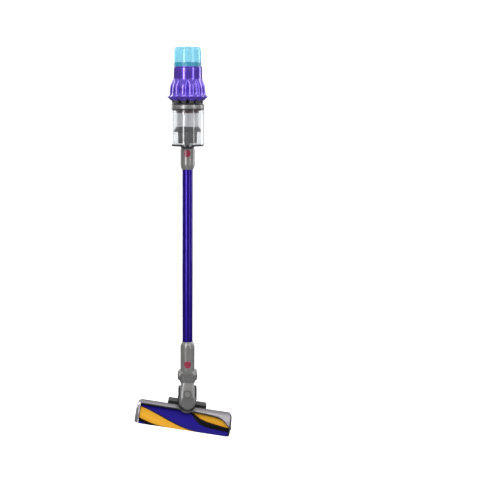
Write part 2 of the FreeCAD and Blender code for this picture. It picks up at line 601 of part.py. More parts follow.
def right_end():
    """A flat end frame, and the round cap in it that twists to free the roller."""
    inside, outside = CHASSIS_X[1] + SEAT, HEAD_X[1]
    plate = Part.Face(end_wire(inside, 30.8, DECK_Z - 3.0)).extrude(V(outside - inside, 0, 0))
    plate = rounded(plate, 2.0, lambda e: abs(e.CenterOfMass.x - outside) < 0.1)
    bore = rod(CAP_R + FIT, (inside - 1, ROLLER_Y, ROLLER_Z), (outside + 1, ROLLER_Y, ROLLER_Z))
    keep("right_end_frame", plate.cut(bore), True)
    cap = rod(CAP_R, (inside + SEAT, ROLLER_Y, ROLLER_Z), (outside + 0.4, ROLLER_Y, ROLLER_Z))
    cap = rounded(cap, 1.5, lambda e: e.CenterOfMass.x > outside)
    finger_bar = box((outside, outside + 2.6), (ROLLER_Y - 16, ROLLER_Y + 16), (ROLLER_Z - 3, ROLLER_Z + 3))
    stub = rod(STUB_R, (ROLLER_X[1] - 3.6, ROLLER_Y, ROLLER_Z), (inside + 1, ROLLER_Y, ROLLER_Z))
    keep("roller_end_cap", cap.multiFuse([finger_bar, stub]), True)


def chassis_and_screws():
    """The floor of the head behind the roller, hollow, with its strip and screws."""
    under = DECK_Z - VISOR_WALL - 2.4
    outline = [(7.0, 3.6), (7.0, under), (VISOR_BACK_Y + SEAT, under), (VISOR_BACK_Y + SEAT, DECK_Z - 0.2),
               (10.0, 64.4), (20.0, 59.8), (40.0, 40.0), (46.0, 25.0), (46.0, 6.0), (43.0, 3.6)]
    chassis = side_prism(outline, CHASSIS_X).cut(swivel_rod(SADDLE_R + SEAT, (-60, BOOT_Y[1])))
    hollow = [(10.0, 8.0), (10.0, 54.0), (20.0, 52.0), (37.0, 36.0), (42.0, 23.0), (42.0, 8.0)]
    chassis = chassis.cut(side_prism(hollow, (CHASSIS_X[0] + 4.0, CHASSIS_X[1] - 4.0)))
    bay = box((CARRIAGE_X[0] - SEAT, CARRIAGE_X[1] + SEAT), (CARRIAGE_Y[0] - SEAT, 64), (0, 80))
    chassis = chassis.cut(bay)
    screws = []
    for x in SCREW_X:
        thread = rod(1.5, (x, SCREW_Y, 3.0), (x, SCREW_Y, 7.6))
        slot = box((x - 2.2, x + 2.2), (SCREW_Y - 0.5, SCREW_Y + 0.5), (1.5, 2.8))
        screws.append(rod(3.0, (x, SCREW_Y, 2.0), (x, SCREW_Y, 3.6)).fuse(thread).cut(slot))
        chassis = chassis.cut(rod(1.5, (x, SCREW_Y, 3.0), (x, SCREW_Y, 8.0)))
    keep("sole_screws", Part.makeCompound(screws), True)
    keep("head_chassis", chassis, True)
    strip_x = (ROLLER_X[0] + 2.6, ROLLER_X[1] - 2.6)
    strip = box(strip_x, (7.4, 12.0), (1.0, 3.4)).fuse(box(strip_x, (10.0, 17.4), (2.2, 3.4)))
    keep("floor_strip", strip, True)
    return chassis


def carriage_outline(gap=0.0):
    """The rear carriage's side view, or the same a gap larger, as (y, z)."""
    front, back = CARRIAGE_Y[0] - gap, CARRIAGE_Y[1] + gap
    top = CARRIAGE_TOP + gap
    return [(front, 9.0), (front, top - 2.0), (front + 4.0, top), (50.0, top), (back - 4.0, top - 6.0),
            (back, top - 20.0), (back, 18.0), (back - 4.0, 9.0)]


def carriage_and_wheels():
    carriage = side_prism(carriage_outline(), CARRIAGE_X)
    ends = (CARRIAGE_X[0] + 0.1, CARRIAGE_X[1] - 0.1)
    carriage = rounded(carriage, 3.0,
                       lambda e: not ends[0] < e.CenterOfMass.x < ends[1] and e.CenterOfMass.z > 40)
    carriage = carriage.cut(box((CARRIAGE_X[0] + 4.0, CARRIAGE_X[1] - 4.0), (20.6, 59.0),
                                (22.0, CARRIAGE_TOP - 4.0)))
    axles = []
    for side, name in ((-1, "wheel_left"), (1, "wheel_right")):
        def across(radius, start, end):
            return rod(radius, (side * start, WHEEL_Y, WHEEL_R), (side * end, WHEEL_Y, WHEEL_R))
        axles.append(across(AXLE_R, 27.0, 53.0))
        carriage = carriage.cut(across(WHEEL_R + 1.8, WHEEL_X[0] - 1.0, WHEEL_X[1] + 1.0)).cut(axles[-1])
        bore = AXLE_R + RUNNING
        profile = [(WHEEL_X[0], bore), (WHEEL_X[0], WHEEL_R - 1.2), (WHEEL_X[0] + 1.2, WHEEL_R),
                   (WHEEL_X[1] - 1.2, WHEEL_R), (WHEEL_X[1], WHEEL_R - 1.2), (WHEEL_X[1], bore)]
        keep(name, turned_about_x([(side * x, r) for x, r in profile], WHEEL_Y, WHEEL_R), True)
    keep("rear_carriage", carriage, True)
    keep("wheel_axles", Part.makeCompound(axles), True)


def swivel_collar(chassis):
    """The head's half of the swivel: a round socket that stands on the chassis behind the neck."""
    y = (BOOT_Y[1] + 0.6, 40.0)
    collar = swivel_rod(COLLAR_R, y).fuse(box((-COLLAR_R, COLLAR_R), y, (DECK_Z + SEAT, HEAD_ROLL_Z)))
    block = side_prism(carriage_outline(SEAT), (-60.0, 60.0))
    keep("swivel_collar", collar.cut(swivel_rod(17.8, (10, 37))).cut(block).cut(chassis), True)


def roller():
    start, end = ROLLER_X
    axis = (ROLLER_Y, ROLLER_Z)
    sleeve_bore, hub = TUBE_IN_ROLLER_R + 0.1, STUB_R + RUNNING
    keep("roller_sleeve", turned_about_x(
        [(start, sleeve_bore), (start, ROLLER_R - 2.0), (start + 2.0, ROLLER_R), (end - 2.0, ROLLER_R),
         (end, ROLLER_R - 2.0), (end, sleeve_bore)], *axis), True)
    wall = TUBE_IN_ROLLER_R - 2.0
    keep("roller_tube", turned_about_x(
        [(start + 0.4, wall), (start + 0.4, TUBE_IN_ROLLER_R), (end - 0.2, TUBE_IN_ROLLER_R),
         (end - 0.2, hub),
         (end - 4.0, hub), (end - 4.0, wall), (-8.0, wall), (-8.0, hub), (-12.0, hub), (-12.0,
                                                                                        wall)], *axis), True)
    keep("roller_motor", turned_about_x(
        [(start - 3.0, 0), (start - 3.0, 4.8), (start + 2.6, 4.8), (start + 2.6, 16.0), (-20.0, 16.0),
         (-18.0, 14.0), (-18.0, STUB_R), (-5.0, STUB_R), (-5.0, 0)], *axis), True)


def head():
    covers()
    left_end()
    right_end()
    swivel_collar(chassis_and_screws())
    carriage_and_wheels()
    roller()


def build():
    upper_machine()
    keep("impeller", impeller())
    top_end()
    filter_unit()
    shroud()
    bin_parts()
    door()
    bin_slide()
    handle()
    battery()
    wand()
    head_cuff()
    neck()
    head()
    os.makedirs("parts", exist_ok=True)
    for name, shape in sorted(nodes.items()):
        shape.exportStep(f"parts/{name}.step")
        good = "ok" if all(s.isValid() for s in shape.Solids) else "INVALID"
        print(f"{name:18s} solids {len(shape.Solids):2d}  volume {shape.Volume / 1000:8.2f} cm3  {good}")
    print(len(nodes), "nodes")


build()
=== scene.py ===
# %% [markdown]
# # A cordless stick vacuum, dressed in Blender
# The design comes in as a fixed frame: every moving part already has its place and its joint.
# This lesson gives each surface its finish and builds the shapes that need finer mesh work than a
# design model holds: the fluted cyclone shell, the filter, the soft roller, the neck, the visor, the
# battery and the handle's foot.

# %% Load the design
import bmesh
import bpy
import json
import math
from mathutils import Matrix, Vector, noise


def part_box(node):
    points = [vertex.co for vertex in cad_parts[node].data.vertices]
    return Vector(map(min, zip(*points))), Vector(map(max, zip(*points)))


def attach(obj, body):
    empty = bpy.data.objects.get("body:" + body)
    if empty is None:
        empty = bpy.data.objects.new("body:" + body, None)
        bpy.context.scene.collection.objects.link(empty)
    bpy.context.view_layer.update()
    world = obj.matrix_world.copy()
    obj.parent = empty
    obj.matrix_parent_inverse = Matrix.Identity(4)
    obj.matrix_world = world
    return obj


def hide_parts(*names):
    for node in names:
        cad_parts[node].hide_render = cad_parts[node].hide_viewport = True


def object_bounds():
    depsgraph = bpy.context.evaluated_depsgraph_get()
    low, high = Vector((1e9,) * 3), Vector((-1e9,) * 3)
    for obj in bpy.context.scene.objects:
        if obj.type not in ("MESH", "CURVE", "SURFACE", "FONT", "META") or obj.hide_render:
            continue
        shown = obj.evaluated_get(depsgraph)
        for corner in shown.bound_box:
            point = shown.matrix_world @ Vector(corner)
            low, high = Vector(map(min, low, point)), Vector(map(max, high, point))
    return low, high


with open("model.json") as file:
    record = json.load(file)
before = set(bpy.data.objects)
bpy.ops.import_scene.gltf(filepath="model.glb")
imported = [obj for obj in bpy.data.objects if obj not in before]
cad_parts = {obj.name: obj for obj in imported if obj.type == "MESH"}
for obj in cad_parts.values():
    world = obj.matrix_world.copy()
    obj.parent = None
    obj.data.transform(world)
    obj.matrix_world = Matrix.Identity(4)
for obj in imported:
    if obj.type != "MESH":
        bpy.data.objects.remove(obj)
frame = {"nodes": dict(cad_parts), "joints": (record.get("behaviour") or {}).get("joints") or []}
cad_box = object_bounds()
print("design box", [round(v, 3) for corner in cad_box for v in corner])

# %% [markdown]
# ## Places that everything else hangs on
# Three lines run through the object: the upright axis of the wand, the upright axis of the hand-held
# machine in front of it, and the roller's own axis, which leans because the head hangs rolled on its
# swivel. All three are read from the design, so that a change there moves every piece here.

# %% Axes and the head's lean
MM = 0.001
ORIGIN = Vector((0, 0, 0))


def middle(node):
    low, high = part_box(node)
    return (low + high) / 2


def joint(name):
    return next(j for j in frame["joints"] if j["name"] == name)


machine_axis = middle("bin_ring").xy.to_3d()
wand_axis = middle("wand_tube").xy.to_3d()
roller_centre = Vector(joint("roller_spin")["pos_m"])
roller_line = Vector(joint("roller_spin")["axis"])
head_lean = math.atan2(-roller_line.z, roller_line.x)
head_place = Matrix.Translation(roller_centre) @ Matrix.Rotation(head_lean, 4, "Y")
print("head leans", round(math.degrees(head_lean), 2), "degrees")

# %% [markdown]
# ## Camera
# The machine is seen straight from the front, from a little under the height of its filter, so the
# floor head is looked down on. The lens is long and the camera far, and a small sideways shift sets
# the object to the left of the picture's middle.

# %% Camera
CAMERA_DISTANCE = 3.2
CAMERA_HEIGHT = 0.070
AIM_HEIGHT = -0.3556
LENS = 80.6
SIDE_SHIFT = 0.125

camera = bpy.data.objects.new("camera", bpy.data.cameras.new("camera"))
bpy.context.scene.collection.objects.link(camera)
bpy.context.scene.camera = camera
camera.data.lens = LENS
camera.data.shift_x = SIDE_SHIFT
camera.location = wand_axis + Vector((0, -CAMERA_DISTANCE, CAMERA_HEIGHT))
aim = wand_axis + Vector((0, 0, AIM_HEIGHT))
camera.rotation_euler = (aim - camera.location).to_track_quat("-Z", "Y").to_euler()

# %% [markdown]
# ## Studio
# A round white bowl, floor and wall in one turned surface, gives a pale ground with no horizon from
# any side. The light is a tall soft panel at the front left, a weaker one at the right that draws the
# second edge on round parts, two behind for the back, one overhead, a small one aimed at the violet
# shell for its glints, and the sky over the bowl.

# %% Backdrop and lights
HANG = 0.10            # the head hangs this far above the floor
BOWL_RADIUS = 7.0
BOWL_CURVE = 2.4
CURVE_STEPS = 8
BOWL_STEPS = 96
PAPER_GLOW = 0.32
SKY_STRENGTH = 0.72
floor_height = cad_box[0].z - HANG


def srgb(code):
    """A web colour as linear red, green, blue and 1."""
    channels = [int(code[i:i + 2], 16) / 255 for i in (1, 3, 5)]
    return tuple(c / 12.92 if c <= 0.04045 else ((c + 0.055) / 1.055) ** 2.4 for c in channels) + (1.0,)


def studio_paper():
    """White paper to the eye, even through clear plastic, and a dark cloth to mirror-like reflections."""
    paper = bpy.data.materials.new("studio_paper")
    paper.use_nodes = True
    tree = paper.node_tree
    white = tree.nodes["Principled BSDF"]
    white.inputs["Base Color"].default_value = (0.86, 0.86, 0.87, 1)
    white.inputs["Roughness"].default_value = 0.9
    white.inputs["Emission Color"].default_value = (1, 1, 1, 1)
    white.inputs["Emission Strength"].default_value = PAPER_GLOW
    cloth = tree.nodes.new("ShaderNodeEmission")
    cloth.inputs["Color"].default_value = (0.11, 0.11, 0.12, 1)
    path = tree.nodes.new("ShaderNodeLightPath")
    mirrored = tree.nodes.new("ShaderNodeMath")
    mirrored.operation = "SUBTRACT"
    mirrored.use_clamp = True
    tree.links.new(path.outputs["Is Glossy Ray"], mirrored.inputs[0])
    tree.links.new(path.outputs["Is Transmission Ray"], mirrored.inputs[1])
    choice = tree.nodes.new("ShaderNodeMixShader")
    tree.links.new(mirrored.outputs[0], choice.inputs[0])
    tree.links.new(white.outputs[0], choice.inputs[1])
    tree.links.new(cloth.outputs[0], choice.inputs[2])
    tree.links.new(choice.outputs[0], tree.nodes["Material Output"].inputs["Surface"])
    return paper


def bowl():
    bm = bmesh.new()
    flat = BOWL_RADIUS - BOWL_CURVE
    points = [Vector((0, 0, 0)), Vector((flat, 0, 0))]
    for step in range(1, CURVE_STEPS + 1):
        turn = math.radians(90) * step / CURVE_STEPS
        points.append(Vector((flat + BOWL_CURVE * math.sin(turn), 0, BOWL_CURVE * (1 - math.cos(turn)))))
    verts = [bm.verts.new(p) for p in points]
    edges = [bm.edges.new(pair) for pair in zip(verts, verts[1:])]
    bmesh.ops.spin(bm, geom=verts + edges, cent=(0, 0, 0), axis=(0, 0, 1), angle=math.tau, steps=BOWL_STEPS,
                   use_merge=True)
    bmesh.ops.remove_doubles(bm, verts=bm.verts, dist=0.0001)
    bmesh.ops.recalc_face_normals(bm, faces=bm.faces)
    bmesh.ops.reverse_faces(bm, faces=bm.faces)
    bmesh.ops.translate(bm, verts=bm.verts, vec=(wand_axis.x, wand_axis.y, floor_height))
    mesh = bpy.data.meshes.new("studio_floor")
    bm.to_mesh(mesh)
    bm.free()
    mesh.polygons.foreach_set("use_smooth", [True] * len(mesh.polygons))
    mesh.materials.append(studio_paper())
    obj = bpy.data.objects.new("studio_floor", mesh)
    bpy.context.scene.collection.objects.link(obj)


def panel(name, offset, size, power, target=(0, 0, -0.3)):
    """A soft rectangular light, placed from the wand's axis and aimed at a point on it."""
    light = bpy.data.lights.new(name, "AREA")
    light.shape = "RECTANGLE"
    light.size, light.size_y = size
    light.energy = power
    obj = bpy.data.objects.new(name, light)
    bpy.context.scene.collection.objects.link(obj)
    obj.location = wand_axis + Vector(offset)
    facing = wand_axis + Vector(target) - obj.location
    obj.rotation_euler = facing.to_track_quat("-Z", "Y").to_euler()


bowl()
world = bpy.data.worlds.new("sky")
bpy.context.scene.world = world
world.use_nodes = True
sky = world.node_tree.nodes["Background"]
sky.inputs["Color"].default_value = (1.0, 1.0, 1.0, 1)
sky.inputs["Strength"].default_value = SKY_STRENGTH
panel("key_panel", (-1.35, -2.5, 0.3), (0.5, 3.2), 46)
panel("side_panel", (1.9, -1.9, 0.3), (0.35, 3.0), 18)
panel("rim_panel", (2.3, 1.2, 0.5), (0.5, 2.8), 26)
panel("back_panel", (-1.6, 2.4, 0.5), (0.6, 2.8), 30)
panel("top_panel", (0.0, -0.4, 2.4), (1.6, 1.6), 16)
panel("glint_panel", (-0.2, 1.5, 2.3), (1.4, 0.9), 42, target=(0, 0, 0.05))
bpy.context.scene.view_settings.view_transform = "Standard"

# %% [markdown]
# ## Shared surface effects
# Moulded plastic is never one flat colour. Its tone drifts a little over a hand's breadth, it has a
# fine spark texture from the tool, and handling leaves it duller in patches. Those three are one node
# group, used by every moulding with its own amounts. A second group draws the fine lines that
# polishing or drawing leaves on metal.

# %% Node group helpers
NUMBER, COLOUR, VECTOR = "NodeSocketFloat", "NodeSocketColor", "NodeSocketVector"


def new_group(name, inputs, outputs):
    """An empty node group with its sockets; returns its tree, its input node and its output node."""
    tree = bpy.data.node_groups.new(name, "ShaderNodeTree")
    for label, kind in inputs:
        tree.interface.new_socket(label, in_out="INPUT", socket_type=kind)
    for label, kind in outputs:
        tree.interface.new_socket(label, in_out="OUTPUT", socket_type=kind)
    return tree, tree.nodes.new("NodeGroupInput"), tree.nodes.new("NodeGroupOutput")


def put(tree, kind, links=(), **values):
    """Adds a node, sets its properties and sockets by name, and joins sockets to its inputs."""
    node = tree.nodes.new(kind)
    for key, value in values.items():
        if hasattr(node, key):
            setattr(node, key, value)
        else:
            node.inputs[key.replace("_", " ")].default_value = value
    for socket, source in links:
        tree.links.new(source, node.inputs[socket])
    return node


def sums(tree, operation, first, second=None, third=None, clamp=False):
    """A Math node; each operand is a number or another node's output."""
    node = tree.nodes.new("ShaderNodeMath")
    node.operation = operation
    node.use_clamp = clamp
    for slot, operand in enumerate((first, second, third)):
        if operand is None:
            continue
        if isinstance(operand, (int, float)):
            node.inputs[slot].default_value = operand
        else:
            tree.links.new(operand, node.inputs[slot])
    return node.outputs[0]


def length_of(tree, x, y):
    """The length of the two sides' diagonal."""
    return sums(tree, "SQRT", sums(tree, "ADD", *[sums(tree, "MULTIPLY", side, side) for side in (x, y)]))


def off_middle(tree, value):
    """How far a value's fraction lies from one half."""
    return sums(tree, "SUBTRACT", sums(tree, "FRACT", value), 0.5)


def blend_colours(tree, share, first, second, mode="MIX"):
    """A colour Mix node; the colours are tuples or outputs."""
    node = tree.nodes.new("ShaderNodeMix")
    node.data_type = "RGBA"
    node.blend_type = mode
    for socket, operand in ((node.inputs[0], share), (node.inputs[6], first), (node.inputs[7], second)):
        if isinstance(operand, (int, float, tuple)):
            socket.default_value = operand
        else:
            tree.links.new(operand, socket)
    return node.outputs[2]


# %% Moulded surface group
def make_moulded_group():
    tree, given, out = new_group(
        "moulded_surface",
        [("Position", VECTOR), ("Base", COLOUR), ("Shade", COLOUR), ("Roughness", NUMBER),
         ("Grain scale", NUMBER), ("Grain depth", NUMBER), ("Wear", NUMBER)],
        [("Colour", COLOUR), ("Roughness", NUMBER), ("Normal", VECTOR)])
    place = given.outputs["Position"]
    drift = put(tree, "ShaderNodeTexNoise", [("Vector", place)], Scale=18.0, Detail=2.0)
    grain = put(tree, "ShaderNodeTexNoise",
                [("Vector", place), ("Scale", given.outputs["Grain scale"])], Detail=1.0)
    rub = put(tree, "ShaderNodeTexNoise", [("Vector", place)], Scale=70.0, Detail=6.0, Roughness=0.7)
    patches = put(tree, "ShaderNodeMapRange", [("Value", rub.outputs["Fac"])], From_Min=0.55, From_Max=0.85)
    worn = sums(tree, "MULTIPLY", patches.outputs[0], given.outputs["Wear"])
    tone = blend_colours(tree, drift.outputs["Fac"], given.outputs["Base"], given.outputs["Shade"])
    pale = blend_colours(tree, sums(tree, "MULTIPLY", worn, 0.10), tone, (0.75, 0.75, 0.75, 1))
    rough = sums(tree, "ADD", given.outputs["Roughness"], sums(tree, "MULTIPLY", worn, 0.22), clamp=True)
    bump = put(tree, "ShaderNodeBump",
               [("Height", grain.outputs["Fac"]), ("Distance", given.outputs["Grain depth"])], Strength=1.0)
    tree.links.new(pale, out.inputs["Colour"])
    tree.links.new(rough, out.inputs["Roughness"])
    tree.links.new(bump.outputs["Normal"], out.inputs["Normal"])
    return tree


# %% Drawn metal group
def make_drawn_group():
    tree, given, out = new_group(
        "drawn_surface",
        [("Position", VECTOR), ("Stretch", VECTOR), ("Base", COLOUR), ("Shade", COLOUR),
         ("Roughness", NUMBER), ("Line depth", NUMBER)],
        [("Colour", COLOUR), ("Roughness", NUMBER), ("Normal", VECTOR)])
    stretched = put(tree, "ShaderNodeVectorMath",
                    [(0, given.outputs["Position"]), (1, given.outputs["Stretch"])], operation="MULTIPLY")
    lines = put(tree, "ShaderNodeTexNoise", [("Vector", stretched.outputs[0])], Scale=1.0, Detail=3.0)
    cloud = put(tree, "ShaderNodeTexNoise", [("Vector", given.outputs["Position"])], Scale=25.0, Detail=2.0)
    tone = blend_colours(tree, lines.outputs["Fac"], given.outputs["Base"], given.outputs["Shade"])
    change = sums(tree, "MULTIPLY_ADD", cloud.outputs["Fac"], 0.10, -0.05)
    rough = sums(tree, "ADD", given.outputs["Roughness"], change, clamp=True)
    bump = put(tree, "ShaderNodeBump",
               [("Height", lines.outputs["Fac"]), ("Distance", given.outputs["Line depth"])], Strength=1.0)
    tree.links.new(tone, out.inputs["Colour"])
    tree.links.new(rough, out.inputs["Roughness"])
    tree.links.new(bump.outputs["Normal"], out.inputs["Normal"])
    return tree


moulded_group = make_moulded_group()
drawn_group = make_drawn_group()

# %% [markdown]
# ## Finishes
# Each finish is a Principled surface fed by one of the groups. Gloss, coat and tint that don't change
# over the surface are set on the shader's own sockets.


# %% Material makers
def new_material(name):
    """A fresh material with its tree, its Principled surface and its Object coordinates."""
    material = bpy.data.materials.new(name)
    material.use_nodes = True
    tree = material.node_tree
    place = tree.nodes.new("ShaderNodeTexCoord").outputs["Object"]
    return material, tree, tree.nodes["Principled BSDF"], place


def set_sockets(surface, **values):
    for key, value in values.items():
        surface.inputs[key.replace("_", " ")].default_value = value


def use_group(tree, group, surface, place, **values):
    node = put(tree, "ShaderNodeGroup", node_tree=group, **values)
    tree.links.new(place, node.inputs["Position"])
    for result, socket in (("Colour", "Base Color"), ("Roughness", "Roughness"), ("Normal", "Normal")):
        tree.links.new(node.outputs[result], surface.inputs[socket])


def moulded(name, base, shade, roughness, grain_scale=1400.0, grain_depth=0.00003, wear=0.3, **sockets):
    """A moulded plastic finish; extra keywords set the shader's own sockets."""
    material, tree, surface, place = new_material(name)
    use_group(tree, moulded_group, surface, place, Base=srgb(base), Shade=srgb(shade),
              Roughness=roughness, Grain_scale=grain_scale, Grain_depth=grain_depth, Wear=wear)
    set_sockets(surface, **sockets)
    return material


def drawn(name, base, shade, roughness, stretch, line_depth=0.00001, **sockets):
    """A drawn, turned or brushed metal finish, with its lines across the stretched directions."""
    material, tree, surface, place = new_material(name)
    use_group(tree, drawn_group, surface, place, Stretch=stretch, Base=srgb(base), Shade=srgb(shade),
              Roughness=roughness, Line_depth=line_depth)
    set_sockets(surface, **sockets)
    return material


# %% Plain finishes
nickel = moulded("nickel_plastic", "#8E8D8B", "#7E7D7B", 0.32, grain_depth=0.00002, wear=0.25,
                 Metallic=0.62, Coat_Weight=0.35, Coat_Roughness=0.2)
neck_nickel = moulded("neck_plastic", "#807F7E", "#706F6E", 0.32, grain_depth=0.00002, wear=0.25,
                      Metallic=0.62, Coat_Weight=0.35, Coat_Roughness=0.2)
pale_nickel = moulded("pale_nickel_plastic", "#A5A1A6", "#8D898E", 0.28, grain_depth=0.00002, wear=0.2,
                      Metallic=0.7, Coat_Weight=0.4, Coat_Roughness=0.15)
dark = moulded("dark_plastic", "#2B2B2C", "#1E1E20", 0.48, grain_scale=1100.0, grain_depth=0.00006, wear=0.5)
dark_gloss = moulded("dark_gloss_plastic", "#333336", "#26262A", 0.3, grain_depth=0.00002,
                     Coat_Weight=0.3, Coat_Roughness=0.2)
grip_rubber = moulded("grip_rubber", "#242426", "#1A1A1C", 0.62, grain_scale=700.0, grain_depth=0.00012,
                      wear=0.4)
collector_grey = moulded("collector_plastic", "#565654", "#3E3E3D", 0.42, wear=0.5)
red = moulded("red_plastic", "#821A38", "#6E142F", 0.32, wear=0.2, Coat_Weight=0.5, Coat_Roughness=0.12)
maroon = moulded("maroon_plastic", "#521A22", "#3E1219", 0.35, wear=0.2, Coat_Weight=0.3)
seal_rubber = moulded("seal_rubber", "#1C1C1D", "#131314", 0.7, grain_scale=900.0, grain_depth=0.00008,
                      wear=0.5)
cell_wrap = moulded("cell_wrap", "#2C5F9E", "#234F88", 0.3, wear=0.1)
steel = drawn("steel", "#B4B4B5", "#8F8F90", 0.26, (60.0, 900.0, 900.0), Metallic=1.0)
motor_metal = drawn("motor_metal", "#B9BABD", "#98999C", 0.32, (300.0, 300.0, 1200.0), Metallic=1.0)
wand_violet = drawn("wand_violet", "#3318A6", "#240C84", 0.30, (900.0, 900.0, 12.0), line_depth=0.000004,
                    Metallic=0.85, Coat_Weight=0.4, Coat_Roughness=0.12)
violet = moulded("violet_plastic", "#6A4ECC", "#583CBC", 0.22, grain_depth=0.000004, wear=0.15, Metallic=0.72,
                 Coat_Weight=1.0, Coat_Roughness=0.04)


# %% [markdown]
# Clear and tinted mouldings let light through. The bin is water-clear, so its colour stays near white
# and only its thickness and gloss show. The filter's shell is tinted and slightly hazy.

# %% Clear and tinted finishes
def clear(name, tint, roughness, share=1.0, ior=1.49):
    return moulded(name, tint, tint, roughness, grain_scale=200.0, grain_depth=0.0, wear=0.1,
                   Transmission_Weight=share, IOR=ior)


bin_clear = clear("bin_clear", "#EFF1F2", 0.02)
cyan_clear = clear("cyan_clear", "#A2EBFF", 0.12, share=0.6)
teal = moulded("teal_plastic", "#2A86A0", "#1C6C86", 0.22, wear=0.1, Coat_Weight=0.6, Coat_Roughness=0.08)
paper = moulded("pleat_paper", "#EAF8FC", "#D3EFF7", 0.8, grain_scale=600.0, grain_depth=0.0001, wear=0.0)


# %% [markdown]
# The shroud is a thin steel sleeve with thousands of fine holes. Modelling them would cost millions
# of faces, so the holes are a pattern of dots laid out by angle and height round the machine's axis.
# Each dot is painted dark grey: painted shade for the dim inside seen through a hole.

# %% Perforated steel
def perforated(name, hole_pitch=0.0011):
    material, tree, surface, place = new_material(name)
    moved = put(tree, "ShaderNodeMapping", [("Vector", place)], Location=tuple(-machine_axis))
    split = put(tree, "ShaderNodeSeparateXYZ", [("Vector", moved.outputs[0])])
    radius = (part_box("shroud_mesh")[1].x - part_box("shroud_mesh")[0].x) / 2
    turn = sums(tree, "ARCTAN2", split.outputs["Y"], split.outputs["X"])
    along = sums(tree, "MULTIPLY", turn, radius / hole_pitch)
    up = sums(tree, "MULTIPLY", split.outputs["Z"], 1 / hole_pitch)
    row_shift = sums(tree, "MULTIPLY", sums(tree, "FLOORED_MODULO", sums(tree, "FLOOR", up), 2.0), 0.5)
    across = off_middle(tree, sums(tree, "ADD", along, row_shift))
    rise = off_middle(tree, up)
    distance = length_of(tree, across, rise)
    solid = put(tree, "ShaderNodeMapRange", [("Value", distance)], From_Min=0.22, From_Max=0.32)
    # the dots are painted dark grey (#505153): painted shade inside the holes, against the bright steel
    # between them
    tone = blend_colours(tree, solid.outputs[0], srgb("#505153"), srgb("#C4C3C6"))
    bump = put(tree, "ShaderNodeBump", [("Height", solid.outputs[0])], Distance=0.0002, Strength=0.8)
    tree.links.new(tone, surface.inputs["Base Color"])
    tree.links.new(bump.outputs["Normal"], surface.inputs["Normal"])
    set_sockets(surface, Metallic=0.85, Roughness=0.4)
    return material


steel_mesh = perforated("steel_mesh")

# %% [markdown]
# The display is a dark window with a faint ring of ticks under it, as a generic gauge that is switched
# off. The roller's pile takes its colours from the strips' layout and its filaments from two noises:
# one drawn out along the strips for the lie of the fibres, one fine and round for their ends.

# %% Display and pile
def display_glass():
    material, tree, surface, place = new_material("screen_glass")
    centre = middle("screen")
    moved = put(tree, "ShaderNodeMapping", [("Vector", place)], Location=(-centre.x, -centre.y, 0.0))
    split = put(tree, "ShaderNodeSeparateXYZ", [("Vector", moved.outputs[0])])
    x, y = split.outputs["X"], split.outputs["Y"]
    turn = sums(tree, "MULTIPLY", sums(tree, "ARCTAN2", y, x), 24 / math.tau)
    tick = sums(tree, "LESS_THAN", sums(tree, "ABSOLUTE", off_middle(tree, turn)), 0.09)
    off_ring = sums(tree, "ABSOLUTE", sums(tree, "SUBTRACT", length_of(tree, x, y), 0.0115))
    mask = sums(tree, "MULTIPLY", tick, sums(tree, "LESS_THAN", off_ring, 0.0012))
    tone = blend_colours(tree, mask, srgb("#08080A"), srgb("#8E8E96"))
    tree.links.new(tone, surface.inputs["Base Color"])
    set_sockets(surface, Roughness=0.08, Coat_Weight=1.0)
    return material


screen_glass = display_glass()


# place across a strip, 0 at its lower edge, and the pile's colour there: near-black below the lower edge,
# yellow a little darker at that edge, and a thin dark line above the upper edge
PILE_COLOURS = [(-40.0, "#160878"), (-14.6, "#160878"), (-13.4, "#060409"), (-1.2, "#09070B"),
                (0.0, "#C68A1A"), (12.0, "#D69E2A"), (33.6, "#CE9522"), (34.8, "#140B03"),
                (37.4, "#0C043A"), (39.4, "#160878")]
RAMP_START = -40.0
RAMP_END = 60.0


def roller_pile():
    material, tree, surface, place = new_material("roller_pile")
    lay = put(tree, "ShaderNodeUVMap", uv_map="strips")
    split = put(tree, "ShaderNodeSeparateXYZ", [("Vector", lay.outputs[0])])
    drawn_out = put(tree, "ShaderNodeMapping", [("Vector", lay.outputs[0])], Scale=(1.6, 0.16, 1.0))
    fibres = put(tree, "ShaderNodeTexNoise", [("Vector", drawn_out.outputs[0])], Scale=1.0, Detail=4.0)
    ends = put(tree, "ShaderNodeTexNoise", [("Vector", place)], Scale=900.0, Detail=2.0)
    wander = sums(tree, "SUBTRACT", ends.outputs["Fac"], 0.5)
    ragged = sums(tree, "MULTIPLY_ADD", wander, 2.4, split.outputs["X"])
    share = put(tree, "ShaderNodeMapRange", [("Value", ragged)], From_Min=RAMP_START, From_Max=RAMP_END)
    ramp = put(tree, "ShaderNodeValToRGB", [("Fac", share.outputs[0])])
    bar = ramp.color_ramp
    while len(bar.elements) < len(PILE_COLOURS):
        bar.elements.new(0.5)
    for element, (across, code) in zip(bar.elements, PILE_COLOURS):
        element.position = (across - RAMP_START) / (RAMP_END - RAMP_START)
        element.color = srgb(code)
    shade = blend_colours(tree, 1.0, ramp.outputs["Color"], (0.42, 0.42, 0.45, 1), mode="MULTIPLY")
    depth = sums(tree, "MULTIPLY", fibres.outputs["Fac"], 0.75)
    tone = blend_colours(tree, depth, ramp.outputs["Color"], shade)
    height = sums(tree, "ADD", fibres.outputs["Fac"], sums(tree, "MULTIPLY", ends.outputs["Fac"], 0.6))
    bump = put(tree, "ShaderNodeBump", [("Height", height)], Distance=0.0004, Strength=0.9)
    tree.links.new(tone, surface.inputs["Base Color"])
    tree.links.new(bump.outputs["Normal"], surface.inputs["Normal"])
    set_sockets(surface, Roughness=0.75, Specular_IOR_Level=0.15)
    return material


pile = roller_pile()

# %% [markdown]
# ## Dress the design's own parts
# Most parts have the right shape already and only need their finish. The table says which finish each
# one takes; the parts that are rebuilt further down are hidden there.

